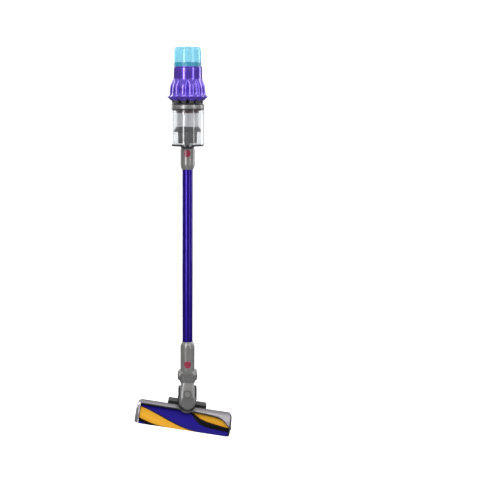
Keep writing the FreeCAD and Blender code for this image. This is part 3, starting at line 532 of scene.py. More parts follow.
# %% Finishes on the design's parts
finishes = {
    nickel: ["bin_ring", "wand_upper_cuff", "wand_lower_collar", "head_cuff", "neck_shell", "neck_disc",
             "top_cap"],
    pale_nickel: ["left_end_plate", "head_visor"],
    dark: ["cyclone_pack", "inlet_base", "handle_foot", "battery_case", "neck_rear_cover", "head_saddle",
           "head_chassis", "rear_carriage", "swivel_collar", "right_end_frame", "swivel_spigot",
           "wand_nose", "door_frame", "motor_bucket", "bin_rail"],
    grip_rubber: ["handle_grip", "roller_end_cap"],
    collector_grey: ["dust_collector"],
    red: ["trigger", "bin_lever", "battery_button", "wand_button", "head_button"],
    maroon: ["shroud_head", "mode_button"],
    seal_rubber: ["bin_seal", "wheel_left", "wheel_right", "floor_strip", "screen"],
    cell_wrap: ["battery_cells"],
    steel: ["hinge_pin", "door_pin", "wheel_axles", "sole_screws"],
    motor_metal: ["motor", "roller_motor", "roller_tube", "impeller"],
    wand_violet: ["wand_tube"],
    violet: ["cyclone_shell", "motor_housing", "roller_sleeve"],
    bin_clear: ["bin_wall", "door_window", "inlet_duct", "bin_runner"],
    cyan_clear: ["filter_shell"],
    teal: ["filter_band"],
    paper: ["filter_pleats"],
    steel_mesh: ["shroud_mesh"],
}


def dress(node, material):
    slots = frame["nodes"][node].data.materials
    slots.clear()
    slots.append(material)


for material, names in finishes.items():
    for name in names:
        dress(name, material)
print(sum(len(names) for names in finishes.values()), "parts dressed")

# %% [markdown]
# ## How the new pieces are made
# Most of this machine is turned: rings, shells and caps about one axis. Such a piece starts as its
# profile, a line of points, and the spin operator carries it round. What isn't turned starts as a
# circle or a box, and is extruded, moved and bevelled. Every piece ends in the same few steps: double
# points merged, faces turned outwards, sharp edges marked, and a body to ride on.

# %% Piece helpers
def outwards(bm):
    bmesh.ops.remove_doubles(bm, verts=bm.verts, dist=1e-6)
    bmesh.ops.recalc_face_normals(bm, faces=bm.faces)
    return bm


def piece(name, bm, body, material, replaces=(), sharp=38.0, rounding=0.0, segments=2):
    """Turns a bmesh in metres into a finished object; rounding is a live bevel on its sharp edges."""
    outwards(bm)
    mesh = bpy.data.meshes.new(name)
    bm.to_mesh(mesh)
    bm.free()
    mesh.polygons.foreach_set("use_smooth", [True] * len(mesh.polygons))
    mesh.set_sharp_from_angle(angle=math.radians(sharp))
    mesh.materials.append(material)
    obj = bpy.data.objects.new(name, mesh)
    bpy.context.scene.collection.objects.link(obj)
    if rounding:
        bevel = obj.modifiers.new("rounding", "BEVEL")
        bevel.width = rounding * MM
        bevel.segments = segments
        bevel.limit_method = "ANGLE"
        bevel.angle_limit = math.radians(sharp)
        bevel.harden_normals = True
    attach(obj, body)
    if replaces:
        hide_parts(*replaces)
    return obj


def spun(points, centre, axis, steps, loop=True):
    """A line of points, closed unless loop is off, carried once round an axis."""
    bm = bmesh.new()
    verts = [bm.verts.new(point) for point in points]
    pairs = zip(verts, verts[1:] + verts[:1]) if loop else zip(verts, verts[1:])
    edges = [bm.edges.new(pair) for pair in pairs]
    bmesh.ops.spin(bm, geom=verts + edges, cent=centre, axis=axis, angle=math.tau, steps=steps,
                   use_merge=True)
    return outwards(bm)


def lathe(profile, base, steps=128, loop=True):
    """A profile of (radius, height) in millimetres above a base point, spun about the upright axis."""
    return spun([base + Vector((r * MM, 0, h * MM)) for r, h in profile], base, (0, 0, 1), steps, loop)


def verts_in(grown):
    """The verts among what an operator has made."""
    return [item for item in grown if isinstance(item, bmesh.types.BMVert)]


def polar(point, centre):
    """Angle round an upright axis, 0 at the front (-Y) and rising to the right, and the radius."""
    dx, dy = point.x - centre.x, point.y - centre.y
    return math.atan2(dx, -dy), math.hypot(dx, dy)


def from_polar(angle, radius, centre, z):
    return Vector((centre.x + radius * math.sin(angle), centre.y - radius * math.cos(angle), z))


def between(value, table):
    """Straight-line reading from a table of (value, result) in rising order."""
    for (v0, r0), (v1, r1) in zip(table, table[1:]):
        if value <= v1:
            share = min(max((value - v0) / (v1 - v0), 0.0), 1.0)
            return r0 + (r1 - r0) * share
    return table[-1][1]


def block(low, high, bevel=0.0, segments=3):
    """A box between two corners, in metres, with its edges rounded by bevel millimetres."""
    bm = bmesh.new()
    low, high = Vector(low), Vector(high)
    size = high - low
    place = Matrix.Translation((low + high) / 2) @ Matrix.Diagonal((*size, 1))
    bmesh.ops.create_cube(bm, size=1.0, matrix=place)
    if bevel:
        bmesh.ops.bevel(bm, geom=bm.edges[:], offset=bevel * MM, segments=segments, profile=0.5,
                        affect="EDGES", material=-1)
    return bm


def join_in(target, source):
    """Adds one bmesh to another and frees it."""
    mesh = bpy.data.meshes.new("joining")
    source.to_mesh(mesh)
    source.free()
    target.from_mesh(mesh)
    bpy.data.meshes.remove(mesh)
    return target


def height_of(node, share=0.0):
    low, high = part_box(node)
    return low.z + (high.z - low.z) * share


def on_axis(axis, node, share=0.0):
    """A base point on an upright axis at a share of a node's height."""
    return Vector((axis.x, axis.y, height_of(node, share)))


# %% [markdown]
# ## Fluted cyclone shell
# Eleven small cyclones stand in a ring under this shell, and it follows each one: a narrow rounded
# rib per cone, deep creases between them, and at the foot a flared petal over each cone's outlet. A
# shell could be sculpted, or built from eleven cones and fused. Here one profile is spun into a plain
# flared skin, and then each point is pulled in towards a second, narrower profile by how far it lies
# from its rib's crest. That keeps the mesh even and makes every crease the same.

# %% Fluted shell
CONES = 11
PITCH = math.tau / CONES
SHELL_WALL = 1.8
RIB_STEPS = 20         # spin steps to one rib
LONG_EDGE = 3.5        # longer stretches of the profile are halved

# height above the lip, crest radius and crease radius, in millimetres
FLUTES = [(0.0, 45.4, 45.0), (1.2, 46.6, 45.6), (3.2, 49.2, 46.6), (6.4, 52.4, 48.2), (9.4, 55.4, 50.4),
          (11.1, 56.6, 51.6), (12.4, 56.2, 51.4), (14.2, 54.0, 49.0), (16.4, 51.9, 46.6), (19.2, 51.0, 45.0),
          (23.0, 50.5, 43.9), (28.0, 50.2, 43.2), (34.0, 49.8, 42.6), (40.0, 49.0, 42.1), (45.0, 47.6, 41.7),
          (50.0, 45.6, 41.5), (54.0, 43.8, 41.4), (57.6, 42.3, 41.3), (60.0, 41.5, 41.2), (61.7, 41.2, 41.2)]
NOTCH_RISE = 7.0       # how far the lip is lifted in a crease
NOTCH_FADE = 14.0      # the height at which that lift has died away


def rib_share(angle):
    """1 on a rib's crest and 0 in a crease; ribs lie half a pitch either side of the front line."""
    phase = ((angle / PITCH) % 1.0) * 2 - 1
    return (1 - abs(phase) ** 2.2) ** 0.75


def fluted_shell():
    foot = on_axis(machine_axis, "cyclone_shell")
    crest = [(h, rc) for h, rc, _ in FLUTES]
    crease = [(h, rv) for h, _, rv in FLUTES]
    bm = lathe([(r, h) for h, r in crest], foot, steps=CONES * RIB_STEPS, loop=False)
    tall = [e for e in bm.edges if abs(e.verts[0].co.z - e.verts[1].co.z) > LONG_EDGE * MM]
    bmesh.ops.subdivide_edges(bm, edges=tall, cuts=1, use_grid_fill=True)
    for vert in bm.verts:
        angle, _ = polar(vert.co, foot)
        share = rib_share(angle)
        h = (vert.co.z - foot.z) / MM
        lifted = h + NOTCH_RISE * (1 - share) ** 1.6 * max(0.0, 1 - h / NOTCH_FADE)
        low, high = between(lifted, crease), between(lifted, crest)
        radius = low + (high - low) * share
        vert.co = from_polar(angle, radius * MM, foot, foot.z + lifted * MM)
    outwards(bm)
    bmesh.ops.solidify(bm, geom=bm.faces[:], thickness=SHELL_WALL * MM)
    return piece("fluted_shell", bm, "machine", violet, ["cyclone_shell"], sharp=50)


shell = fluted_shell()
print("shell", len(shell.data.polygons), "faces")

# %% [markdown]
# ## Cyclone outlets
# Under the petals the dark rounded ends of the cones stand in a ring. Each is a small turned cup with
# a rolled edge, repeated round the axis.


# %% Cone ends
CUP_RING = 36.0        # the cups' distance from the machine's axis


def cone_ends():
    foot = on_axis(machine_axis, "cyclone_pack")
    bm = lathe([(24.0, 0.0), (43.0, 0.0), (43.4, 0.6), (43.0, 1.4), (34.0, 2.2), (28.0, 4.0), (28.0, 64.0),
                (35.6, 69.0), (35.6, 73.6), (24.0, 73.6)], foot, steps=88)
    cup = [(0.0, 0.9), (6.2, 0.9), (7.4, 1.8), (8.0, 3.4), (8.0, 6.0), (8.5, 6.4), (8.5, 7.2), (7.9, 7.6),
           (7.6, 13.0), (0.0, 13.0)]
    for k in range(CONES):
        centre = from_polar(PITCH * (k + 0.5), CUP_RING * MM, foot, foot.z)
        join_in(bm, lathe(cup, centre, steps=28, loop=False))
    return piece("cone_ends", bm, "machine", dark_gloss, ["cyclone_pack"])


cone_ends()

# %% [markdown]
# ## Violet collar over the motor
# A plain turned sleeve joins the shell to the filter. A fine groove at its foot shows where the two
# mouldings meet, and a small rolled bead carries the filter's seal.

# %% Motor housing
housing_foot = on_axis(machine_axis, "motor_housing")
housing = lathe([(26.0, 30.0), (38.0, 30.0), (38.0, 0.6), (40.3, 0.0), (41.15, 0.5), (41.15, 1.4),
                 (40.95, 8.0), (40.8, 18.0), (40.75, 27.6), (40.5, 29.0), (40.9, 29.5), (40.9, 31.4),
                 (40.2, 32.4), (39.2, 32.8), (26.0, 32.8)], housing_foot, steps=144)
piece("motor_sleeve", housing, "machine", violet, ["motor_housing"], sharp=50)

# %% [markdown]
# ## Filter
# The filter is a tinted, slightly hazy cap with pleated medium standing inside it, and a teal band
# that the fingers grip. Its shoulder has a ring of shallow oval dents, one over each air outlet. The
# cap is spun, then points near each dent's middle are pushed in along the shoulder's normal.

# %% Filter cap
DENTS = 11
DENT_PITCH = math.tau / DENTS
DENT_HALF_WIDTH = 5.6
DENT_HALF_HEIGHT = 4.4
DENT_MIDDLE = 38.2
DENT_RADIUS = 36.0
DENT_DEPTH = 2.2
CAP_WALL = 1.7
SHOULDER_STEPS = 14


def filter_cap():
    foot = on_axis(machine_axis, "filter_shell")
    outer = [(38.4, 0.0), (38.4, 8.0), (38.3, 20.0), (38.1, 28.0)]
    shoulder = []
    for step in range(SHOULDER_STEPS + 1):
        turn = math.radians(90) * step / SHOULDER_STEPS
        shoulder.append((29.9 + 8.1 * math.cos(turn), 31.0 + 11.4 * math.sin(turn)))
    rim = [(28.0, 43.0), (26.2, 43.0), (25.4, 42.4), (25.4, 40.2)]
    bm = lathe(outer + shoulder + rim, foot, steps=DENTS * 24, loop=False)
    for vert in bm.verts:
        angle, radius = polar(vert.co, foot)
        across = (angle - round(angle / DENT_PITCH) * DENT_PITCH) * DENT_RADIUS / DENT_HALF_WIDTH
        up = ((vert.co.z - foot.z) / MM - DENT_MIDDLE) / DENT_HALF_HEIGHT
        reach = across * across + up * up
        if reach < 1.0:
            push = DENT_DEPTH * (1 - reach) ** 0.6 * MM
            vert.co = from_polar(angle, radius - push * 0.75, foot, vert.co.z - push * 0.66)
    outwards(bm)
    bmesh.ops.solidify(bm, geom=bm.faces[:], thickness=CAP_WALL * MM)
    return piece("filter_cap", bm, "filter", cyan_clear, ["filter_shell"], sharp=60)


# %% Filter medium
PLEATS = 88
PLEAT_CREST = 34.0
PLEAT_CREASE = 27.4
PAPER_THICKNESS = 0.35


def filter_medium():
    """Pleated paper: a ring of verts, every other one pulled in, drawn up to the cap's shoulder."""
    foot = on_axis(machine_axis, "filter_pleats")
    rise = height_of("filter_pleats", 1.0) - foot.z - 2.0 * MM
    bm = bmesh.new()
    bmesh.ops.create_circle(bm, segments=PLEATS * 2, radius=PLEAT_CREST * MM, matrix=Matrix.Translation(foot))
    for count, vert in enumerate(sorted(bm.verts, key=lambda v: polar(v.co, foot)[0])):
        if count % 2:
            angle, _ = polar(vert.co, foot)
            vert.co = from_polar(angle, PLEAT_CREASE * MM, foot, foot.z)
    grown = bmesh.ops.extrude_edge_only(bm, edges=bm.edges[:])["geom"]
    bmesh.ops.translate(bm, verts=verts_in(grown), vec=(0, 0, rise))
    outwards(bm)
    bmesh.ops.solidify(bm, geom=bm.faces[:], thickness=PAPER_THICKNESS * MM)
    return piece("filter_medium", bm, "filter", paper, ["filter_pleats"], sharp=20)


# %% Filter band
GRIP_RIBS = 72
RIB_DEPTH = 0.45


def filter_grip():
    """The teal band, with a fine rib every five degrees between its two plain edges."""
    foot = on_axis(machine_axis, "filter_band")
    edge = [(27.2, 0.2), (38.0, 0.0), (38.6, 0.5), (38.7, 1.6), (38.7, 2.2), (38.7, 6.0), (38.7, 9.4),
            (38.7, 10.0), (38.5, 11.2), (36.4, 11.3), (36.2, 2.6), (27.2, 2.6)]
    bm = lathe(edge, foot, steps=GRIP_RIBS * 4)
    for vert in bm.verts:
        angle, radius = polar(vert.co, foot)
        if radius > 38.6 * MM and 2.0 < (vert.co.z - foot.z) / MM < 9.6:
            dip = RIB_DEPTH * (0.5 + 0.5 * math.cos(angle * GRIP_RIBS)) ** 2
            vert.co = from_polar(angle, radius - dip * MM, foot, vert.co.z)
    return piece("filter_grip", bm, "filter", teal, ["filter_band"], sharp=50)


filter_cap()
filter_medium()
filter_grip()

# %% [markdown]
# ## Display
# The round display sits in the end of the motor. It is a domed dark window in a bright bezel.

# %% Display
screen_centre = middle("screen")
screen_centre.z = height_of("screen")
window = lathe([(0.0, 0.0), (14.9, 0.0), (14.9, 1.2), (14.2, 1.75), (10.0, 2.1), (5.0, 2.28), (0.0, 2.3)],
               screen_centre, steps=72, loop=False)
piece("screen_window", window, "machine", screen_glass, ["screen"])
bezel_centre = Vector((screen_centre.x, screen_centre.y, height_of("top_cap", 1.0)))
rim = lathe([(15.1, -0.4), (16.3, -0.4), (16.3, 0.35), (15.9, 0.65), (15.3, 0.5)], bezel_centre, steps=72)
piece("screen_bezel", rim, "machine", pale_nickel)

# %% [markdown]
# ## Ring between the cyclones and the bin
# A bright metallic band lies between two dark lines: the gasket's edge above and the bin's seal
# below. Two turned pieces make it, so that each keeps its own finish.

# %% Bin ring
ring_foot = on_axis(machine_axis, "bin_ring")
carrier = lathe([(43.2, 0.0), (46.3, 0.0), (46.6, 0.4), (46.6, 2.2), (45.2, 2.9), (45.2, 13.6), (46.3, 14.2),
                 (46.3, 15.5), (45.8, 15.9), (24.0, 15.9), (24.0, 13.1), (43.2, 13.1)], ring_foot, steps=144)
piece("ring_carrier", carrier, "machine", dark_gloss, ["bin_ring"])
band = lathe([(45.3, 3.1), (46.2, 3.1), (46.7, 3.5), (46.8, 4.6), (46.6, 8.0), (46.5, 11.6), (46.2, 12.8),
              (45.8, 13.3), (45.3, 13.3)], ring_foot, steps=144)
piece("ring_band", band, "machine", nickel)

# %% [markdown]
# ## Soft roller
# The roller is a tube of woven pile: a deep violet field crossed by two wide yellow spiral strips,
# each with a near-black band along its lower edge and a thin dark line along its upper one. The pile
# is too fine to model hair by hair, so the skin is a spun tube that waves in shallow spiral tufts, and
# the material draws the filaments. The strips follow the tube's angle and length and must turn with it,
# so their layout is kept on a UV map: across a strip, and along the roller.

# %% Where the strips lie
FULL_STRIP = 35.0      # a strip's width, in the UV map's own millimetres

# along the roller and the angle of a strip's lower and upper edge, 0 at the front and rising to the top
STRIPS = [([(-133, -3.8), (130, -201.0)], [(-133, 66.2), (130, -131.0)]),
          ([(-133, 201.0), (15, 92.0), (30, 62.0), (44, 42.0), (62, 31.0), (81, 23.5), (107, 16.5),
            (132, 10.0)],
           [(-133, 270.0), (15, 160.0), (60, 122.0), (132, 78.0)])]


def across_strip(degrees, along):
    """How far a point is across its nearest strip: 0 at the lower edge, FULL_STRIP at the upper one."""
    readings = []
    for lower, upper in STRIPS:
        low, high = between(along, lower), between(along, upper)
        for turn in (-360, 0, 360):
            readings.append((degrees + turn - low) / (high - low) * FULL_STRIP)
    return min(readings, key=lambda reading: abs(reading - FULL_STRIP / 2))


# %% Roller
ROLLER_RINGS = 150
ROLLER_STEPS = 180
PILE_DEPTH = 6.4
TUFT_ROWS = 36


def levelled(node):
    """A node's own points, seen in the head's level frame."""
    level = head_place.inverted()
    return [level @ v.co for v in frame["nodes"][node].data.vertices]


def lay_strips(bm):
    """Writes each corner's place across its strip and along the roller on the UV map."""
    layer = bm.loops.layers.uv.new("strips")
    for face in bm.faces:
        centre = face.calc_center_median()
        facing = math.degrees(math.atan2(centre.z, -centre.y))
        chosen = across_strip(facing, centre.x / MM)
        per_degree = across_strip(facing + 1e-3, centre.x / MM) - chosen
        for loop in face.loops:
            co = loop.vert.co
            turned_by = math.degrees(math.atan2(co.z, -co.y)) - facing
            turned_by = (turned_by + 180) % 360 - 180
            along_change = across_strip(facing, co.x / MM) - chosen
            if abs(along_change) > FULL_STRIP:
                along_change = 0.0
            loop[layer].uv = (chosen + per_degree * 1e3 * turned_by + along_change, co.x / MM)


def wave_tufts(bm, radius):
    """Pulls the skin in by shallow spiral tufts and a slow unevenness."""
    for vert in bm.verts:
        reach = math.hypot(vert.co.y, vert.co.z)
        if reach < radius - 3 * MM:
            continue
        angle, along = math.atan2(vert.co.z, -vert.co.y), vert.co.x / MM
        tufts = 0.16 * math.sin(angle * TUFT_ROWS + along * 0.5)
        tufts += 0.4 * noise.noise(Vector((along * 0.45, 9 * math.cos(angle), 9 * math.sin(angle))))
        shrink = 1 + (tufts - 0.45) * MM / reach
        vert.co.y *= shrink
        vert.co.z *= shrink


def soft_roller():
    corners = levelled("roller_sleeve")
    start, end = min(c.x for c in corners), max(c.x for c in corners)
    radius = max(math.hypot(c.y, c.z) for c in corners)
    inner = radius - PILE_DEPTH * MM
    profile = [(start, inner), (start, radius - 2.4 * MM), (start + 0.8 * MM, radius - 1.0 * MM)]
    profile += [(start + (end - start) * k / (ROLLER_RINGS + 2), radius) for k in range(1, ROLLER_RINGS + 2)]
    profile += [(end - 0.8 * MM, radius - 1.0 * MM), (end, radius - 2.4 * MM), (end, inner)]
    bm = spun([(x, 0, r) for x, r in profile], (0, 0, 0), (1, 0, 0), ROLLER_STEPS)
    lay_strips(bm)
    wave_tufts(bm, radius)
    bmesh.ops.transform(bm, matrix=head_place, verts=bm.verts)
    return piece("soft_roller", bm, "roller", pile, ["roller_sleeve"], sharp=60)


roller = soft_roller()
print("roller", len(roller.data.polygons), "faces")

# %% [markdown]
# ## Lofted mouldings
# The neck, the battery and the handle's foot aren't turned: their outline changes as they rise. Each is
# a ring of verts that is extruded from section to section, and every new ring is laid on its own
# rounded outline. A superellipse serves for all of them: a low power gives an oval, a high one gives a
# rectangle with soft corners.

# %% Loft helper
def loft(sections, count=64):
    """Carries a ring of verts through sections, each a function from an angle to a point."""
    bm = bmesh.new()
    bmesh.ops.create_circle(bm, segments=count, radius=1.0)
    angle_of = {vert: math.atan2(vert.co.y, vert.co.x) for vert in bm.verts}
    for vert, angle in angle_of.items():
        vert.co = sections[0](angle)
    first = edges = bm.edges[:]
    for section in sections[1:]:
        grown = bmesh.ops.extrude_edge_only(bm, edges=edges)["geom"]
        edges = [e for e in grown if isinstance(e, bmesh.types.BMEdge)]
        ring = verts_in(grown)
        below = [next(e.other_vert(v) for e in v.link_edges if e.other_vert(v) in angle_of) for v in ring]
        angle_of.update(zip(ring, [angle_of[v] for v in below]))
        for vert in ring:
            vert.co = section(angle_of[vert])
    bmesh.ops.contextual_create(bm, geom=first)
    bmesh.ops.contextual_create(bm, geom=edges)
    return bm


def oval(half_width, half_depth, centre, power=2.0, upright=True):
    """A superellipse in millimetres round a centre in metres, level or standing across the depth axis."""
    def point(angle):
        c, s = math.cos(angle), math.sin(angle)
        u = half_width * math.copysign(abs(c) ** (2 / power), c) * MM
        v = half_depth * math.copysign(abs(s) ** (2 / power), s) * MM
        return centre + (Vector((u, v, 0)) if upright else Vector((u, 0, v)))
    return point


# %% [markdown]
# ## Neck
# The neck's front shell swells from a narrow waist into a round boot that sits in the head's saddle,
# and its two ears hold the shoulder's hinge. The boot's lower half is a circle about the swivel, so
# its half width comes from that circle and not from a table.

# %% Neck shell
swivel_centre = Vector(joint("swivel")["pos_m"])
pitch_centre = Vector(joint("pitch_hinge")["pos_m"])
BOOT_RADIUS = 25.0
BOOT_FRONT = -38.0
BOOT_TOP = 9.8
EAR_RADIUS = 17.1
EAR_INSIDE = 16.6
NECK_BACK = 10.4
CHIN_FRONT = 17.7
CHIN_FOOT = -19.0
CHIN_HALF = 16.2

# height above the swivel, half width, front: the shell's own outline over the boot
NECK_RINGS = [(9.8, 23.0, BOOT_FRONT), (16.0, 23.0, -36.6), (22.0, 22.9, -33.6), (30.0, 22.4, -29.6),
              (36.0, 21.0, -26.2), (42.0, 19.2, -22.8), (46.0, 18.6, -20.8), (49.0, 18.6, -19.4),
              (51.6, 19.2, -18.2)]


def neck_section(height, half_width, front, power):
    middle_y = wand_axis.y + (front + NECK_BACK) / 2 * MM
    centre = Vector((wand_axis.x, middle_y, swivel_centre.z + height * MM))
    return oval(half_width, (NECK_BACK - front) / 2, centre, power)


def ear(side):
    """One hinge ear: a domed round boss turned about the hinge's own line."""
    profile = [(EAR_INSIDE, 0.0), (EAR_INSIDE, EAR_RADIUS - 0.6), (17.4, EAR_RADIUS), (21.6, EAR_RADIUS),
               (24.6, 16.4), (27.0, 14.6), (28.5, 11.6), (29.1, 8.4), (29.2, 8.0), (29.2, 7.4), (28.6, 7.0),
               (28.6, 0.0)]
    points = [pitch_centre + Vector((side * x * MM, 0, r * MM)) for x, r in profile]
    return spun(points, pitch_centre, (1, 0, 0), 72, loop=False)


def ear_root(side):
    """The web between the shell's top and an ear, outside the tongue's slot."""
    low = swivel_centre + Vector((0, -13.5 * MM, 46.0 * MM))
    high = swivel_centre + Vector((0, 9.6 * MM, 62.0 * MM))
    low.x, high.x = sorted((side * EAR_INSIDE * MM, side * 18.4 * MM))
    bm = block(low, high)
    bmesh.ops.subdivide_edges(bm, edges=bm.edges[:], cuts=4, use_grid_fill=True)
    for vert in bm.verts:
        rise = (vert.co.z - low.z) / (high.z - low.z)
        if abs(vert.co.x) > 17.5 * MM:
            vert.co.x += side * 5.6 * math.sin(rise * math.pi / 2) * MM
    return outwards(bm)


def chin():
    """The curved lip in front of the knuckle, with its smiling upper edge, made flat and then wrapped."""
    bm = bmesh.new()
    bmesh.ops.create_grid(bm, x_segments=28, y_segments=16, size=1.0)
    for vert in bm.verts:
        x, share = vert.co.x * CHIN_HALF, (vert.co.y + 1) / 2
        top = 1.0 + 7.0 * (abs(x) / CHIN_HALF) ** 2.4
        rise = CHIN_FOOT + (top - CHIN_FOOT) * share
        reach = CHIN_FRONT + 0.9 * math.cos(math.pi * x / 33.0)
        vert.co = pitch_centre + Vector((x, -reach, rise)) * MM
    bmesh.ops.recalc_face_normals(bm, faces=bm.faces)
    if bm.faces[:][0].normal.y > 0:
        bmesh.ops.reverse_faces(bm, faces=bm.faces)
    bmesh.ops.solidify(bm, geom=bm.faces[:], thickness=-1.5 * MM)
    return outwards(bm)


def neck_shell():
    sections = []
    for step in range(13):
        turn = math.radians(6 + 84 * step / 12)
        height, half_width = -BOOT_RADIUS * math.cos(turn), BOOT_RADIUS * math.sin(turn)
        sections.append(neck_section(height, half_width, BOOT_FRONT, 8.0))
    for step in range(1, 4):
        height = BOOT_TOP * step / 4
        half_width = math.sqrt(BOOT_RADIUS ** 2 - height ** 2)
        sections.append(neck_section(height, half_width, BOOT_FRONT, 7.0))
    sections += [neck_section(h, w, f, 6.5 - h / 18) for h, w, f in NECK_RINGS]
    bm = loft(sections, 96)
    join_in(bm, chin())
    for side in (-1, 1):
        join_in(bm, ear(side))
        join_in(bm, ear_root(side))
    return piece("neck_front", bm, "neck", neck_nickel, ["neck_shell"], sharp=42,
                 rounding=0.8)


neck = neck_shell()
print("neck", len(neck.data.polygons), "faces")

# %% [markdown]
# The disc on the boot covers the swivel's screw. It is turned flat with two fine rings, and a dark ring
# set in the outer one as painted shade for that groove's depth; both are then leaned to lie on the shell.


# %% Ringed disc
DISC_FORWARD = 34.6    # the disc's distance in front of the wand's axis


def ringed_disc():
    centre = Vector((wand_axis.x, wand_axis.y - DISC_FORWARD * MM, middle("neck_disc").z))
    rings = [(0.0, -2.0), (13.0, -2.0), (13.0, 1.6), (12.4, 2.1), (11.4, 2.1), (11.1, 1.3), (9.5, 1.3),
             (9.2, 2.0), (6.6, 2.0), (6.2, 1.4), (5.6, 1.4), (5.2, 1.8), (2.2, 1.9), (1.8, 1.3), (0.0, 1.3)]
    # a dark ring in the outer groove: painted shade for the groove's depth
    groove_shade = [(11.0, 0.8), (11.0, 1.7), (9.6, 1.7), (9.6, 0.8)]
    turned = [lathe(rings, ORIGIN, steps=72, loop=False), lathe(groove_shade, ORIGIN, steps=72)]
    lean = Vector((0, -0.95, 0.31)).to_track_quat("Z", "Y").to_matrix().to_4x4()
    for bm in turned:
        bmesh.ops.transform(bm, matrix=Matrix.Translation(centre) @ lean, verts=bm.verts)
    piece("boot_disc", turned[0], "neck", neck_nickel, ["neck_disc"], sharp=30)
    # the dark groove ring is painted shade
    piece("disc_groove_shade", turned[1], "neck", dark, sharp=30)


ringed_disc()

# %% [markdown]
# ## Visor
# The visor is a bent plate over the roller. Its front edge runs level from the left, then drops round
# the roller's right end like a claw. One line along the roller is spun about the roller's axis to make
# the sheet, the points are slid round to the edge's own angle, and solidify gives the wall. A dark
# bead runs along the edge.

# %% Visor
VISOR_RADIUS = 36.9
VISOR_WALL = 3.2
SADDLE_RADIUS = 32.8
SADDLE_DROP = 60.9     # the swivel's line above the roller's, in the head's own frame
VISOR_BACK = 21.0
VISOR_ENDS = {-1: -133.0, 1: 130.0}
VISOR_FROM = 15.0      # the plates start this far from the neck's line, and the beads at BEAD_FROM
BEAD_FROM = 21.0

# along the roller and the front edge's angle from the roller's back, over its top
VISOR_EDGE = [(-133.0, 105.0), (-14.0, 107.0), (14.0, 111.0), (60.0, 116.0), (94.0, 124.0), (110.0, 136.0),
              (122.0, 156.0), (130.0, 166.0)]


def saddle_gap(height):
    """Half the gap that the neck's round boot needs at a height above the roller's line."""
    return math.sqrt(max(SADDLE_RADIUS ** 2 - (SADDLE_DROP - height) ** 2, 0.0))


def bent_sheet(start, end, radius, opening, edge_shift, steps, back=None):
    """A sheet about the roller from an angle of opening to the visor's edge plus a shift."""
    bm = bmesh.new()
    count = max(2, int(abs(end - start) / 2.5))
    verts = [bm.verts.new((start + (end - start) * k / count, 0, radius)) for k in range(count + 1)]
    edges = [bm.edges.new(pair) for pair in zip(verts, verts[1:])]
    bmesh.ops.spin(bm, geom=verts + edges, cent=(0, 0, 0), axis=(1, 0, 0), angle=1.0, steps=steps)
    for vert in bm.verts:
        share = abs(math.atan2(vert.co.y, vert.co.z))
        low = opening(vert.co.x) if callable(opening) else opening
        angle = math.radians(low + (between(vert.co.x, VISOR_EDGE) + edge_shift - low) * share)
        vert.co.y, vert.co.z = radius * math.cos(angle), radius * math.sin(angle)
    if back is not None:
        top = [e for e in bm.edges if all(abs(v.co.y) < 1e-6 for v in e.verts)]
        grown = bmesh.ops.extrude_edge_only(bm, edges=top)["geom"]
        bmesh.ops.translate(bm, verts=verts_in(grown), vec=(0, back, 0))
    return bm


def thicken(bm, wall):
    """Gives a sheet its wall outwards and scales it from millimetres to its place on the head."""
    bmesh.ops.recalc_face_normals(bm, faces=bm.faces)
    outward = 0.0
    for face in bm.faces:
        away = face.calc_center_median()
        away.x = 0.0
        outward += face.normal.dot(away)
    if outward < 0:
        bmesh.ops.reverse_faces(bm, faces=bm.faces)
    bmesh.ops.solidify(bm, geom=bm.faces[:], thickness=wall)
    for vert in bm.verts:
        gap = saddle_gap(vert.co.z)
        if abs(vert.co.x) < gap:
            vert.co.x = math.copysign(gap, vert.co.x)
    bmesh.ops.remove_doubles(bm, verts=bm.verts, dist=0.02)
    bmesh.ops.dissolve_degenerate(bm, edges=bm.edges, dist=0.01)
    bmesh.ops.transform(bm, matrix=head_place @ Matrix.Scale(MM, 4), verts=bm.verts)
    return bm


visor, bead = bmesh.new(), bmesh.new()
for side, end in VISOR_ENDS.items():
    plate = bent_sheet(side * VISOR_FROM, end, VISOR_RADIUS, 90.0, 0.0, 10, VISOR_BACK)
    join_in(visor, thicken(plate, VISOR_WALL))
    strip = bent_sheet(side * BEAD_FROM, end, VISOR_RADIUS + 0.25,
                       lambda x: between(x, VISOR_EDGE) - 3.0, 1.6, 2)
    join_in(bead, thicken(strip, VISOR_WALL + 0.6))
piece("visor_plate", visor, "floor_head", pale_nickel, ["head_visor"], sharp=40,
      rounding=0.5)
piece("visor_bead", bead, "floor_head", dark, sharp=40, rounding=0.3)

# %% [markdown]
# ## Collector
# Under the perforated sleeve, a flared skirt keeps fluff down and a ribbed drum hangs to the bin's
# foot. The drum's ribs are a wave on a spun profile, and its back is pushed in to clear the inlet duct.

# %% Ribbed collector
DRUM_RIBS = 30
RIB_GROOVE = 1.1
DUCT_CLEARANCE = 15.2  # from the wand's axis, which the inlet duct shares


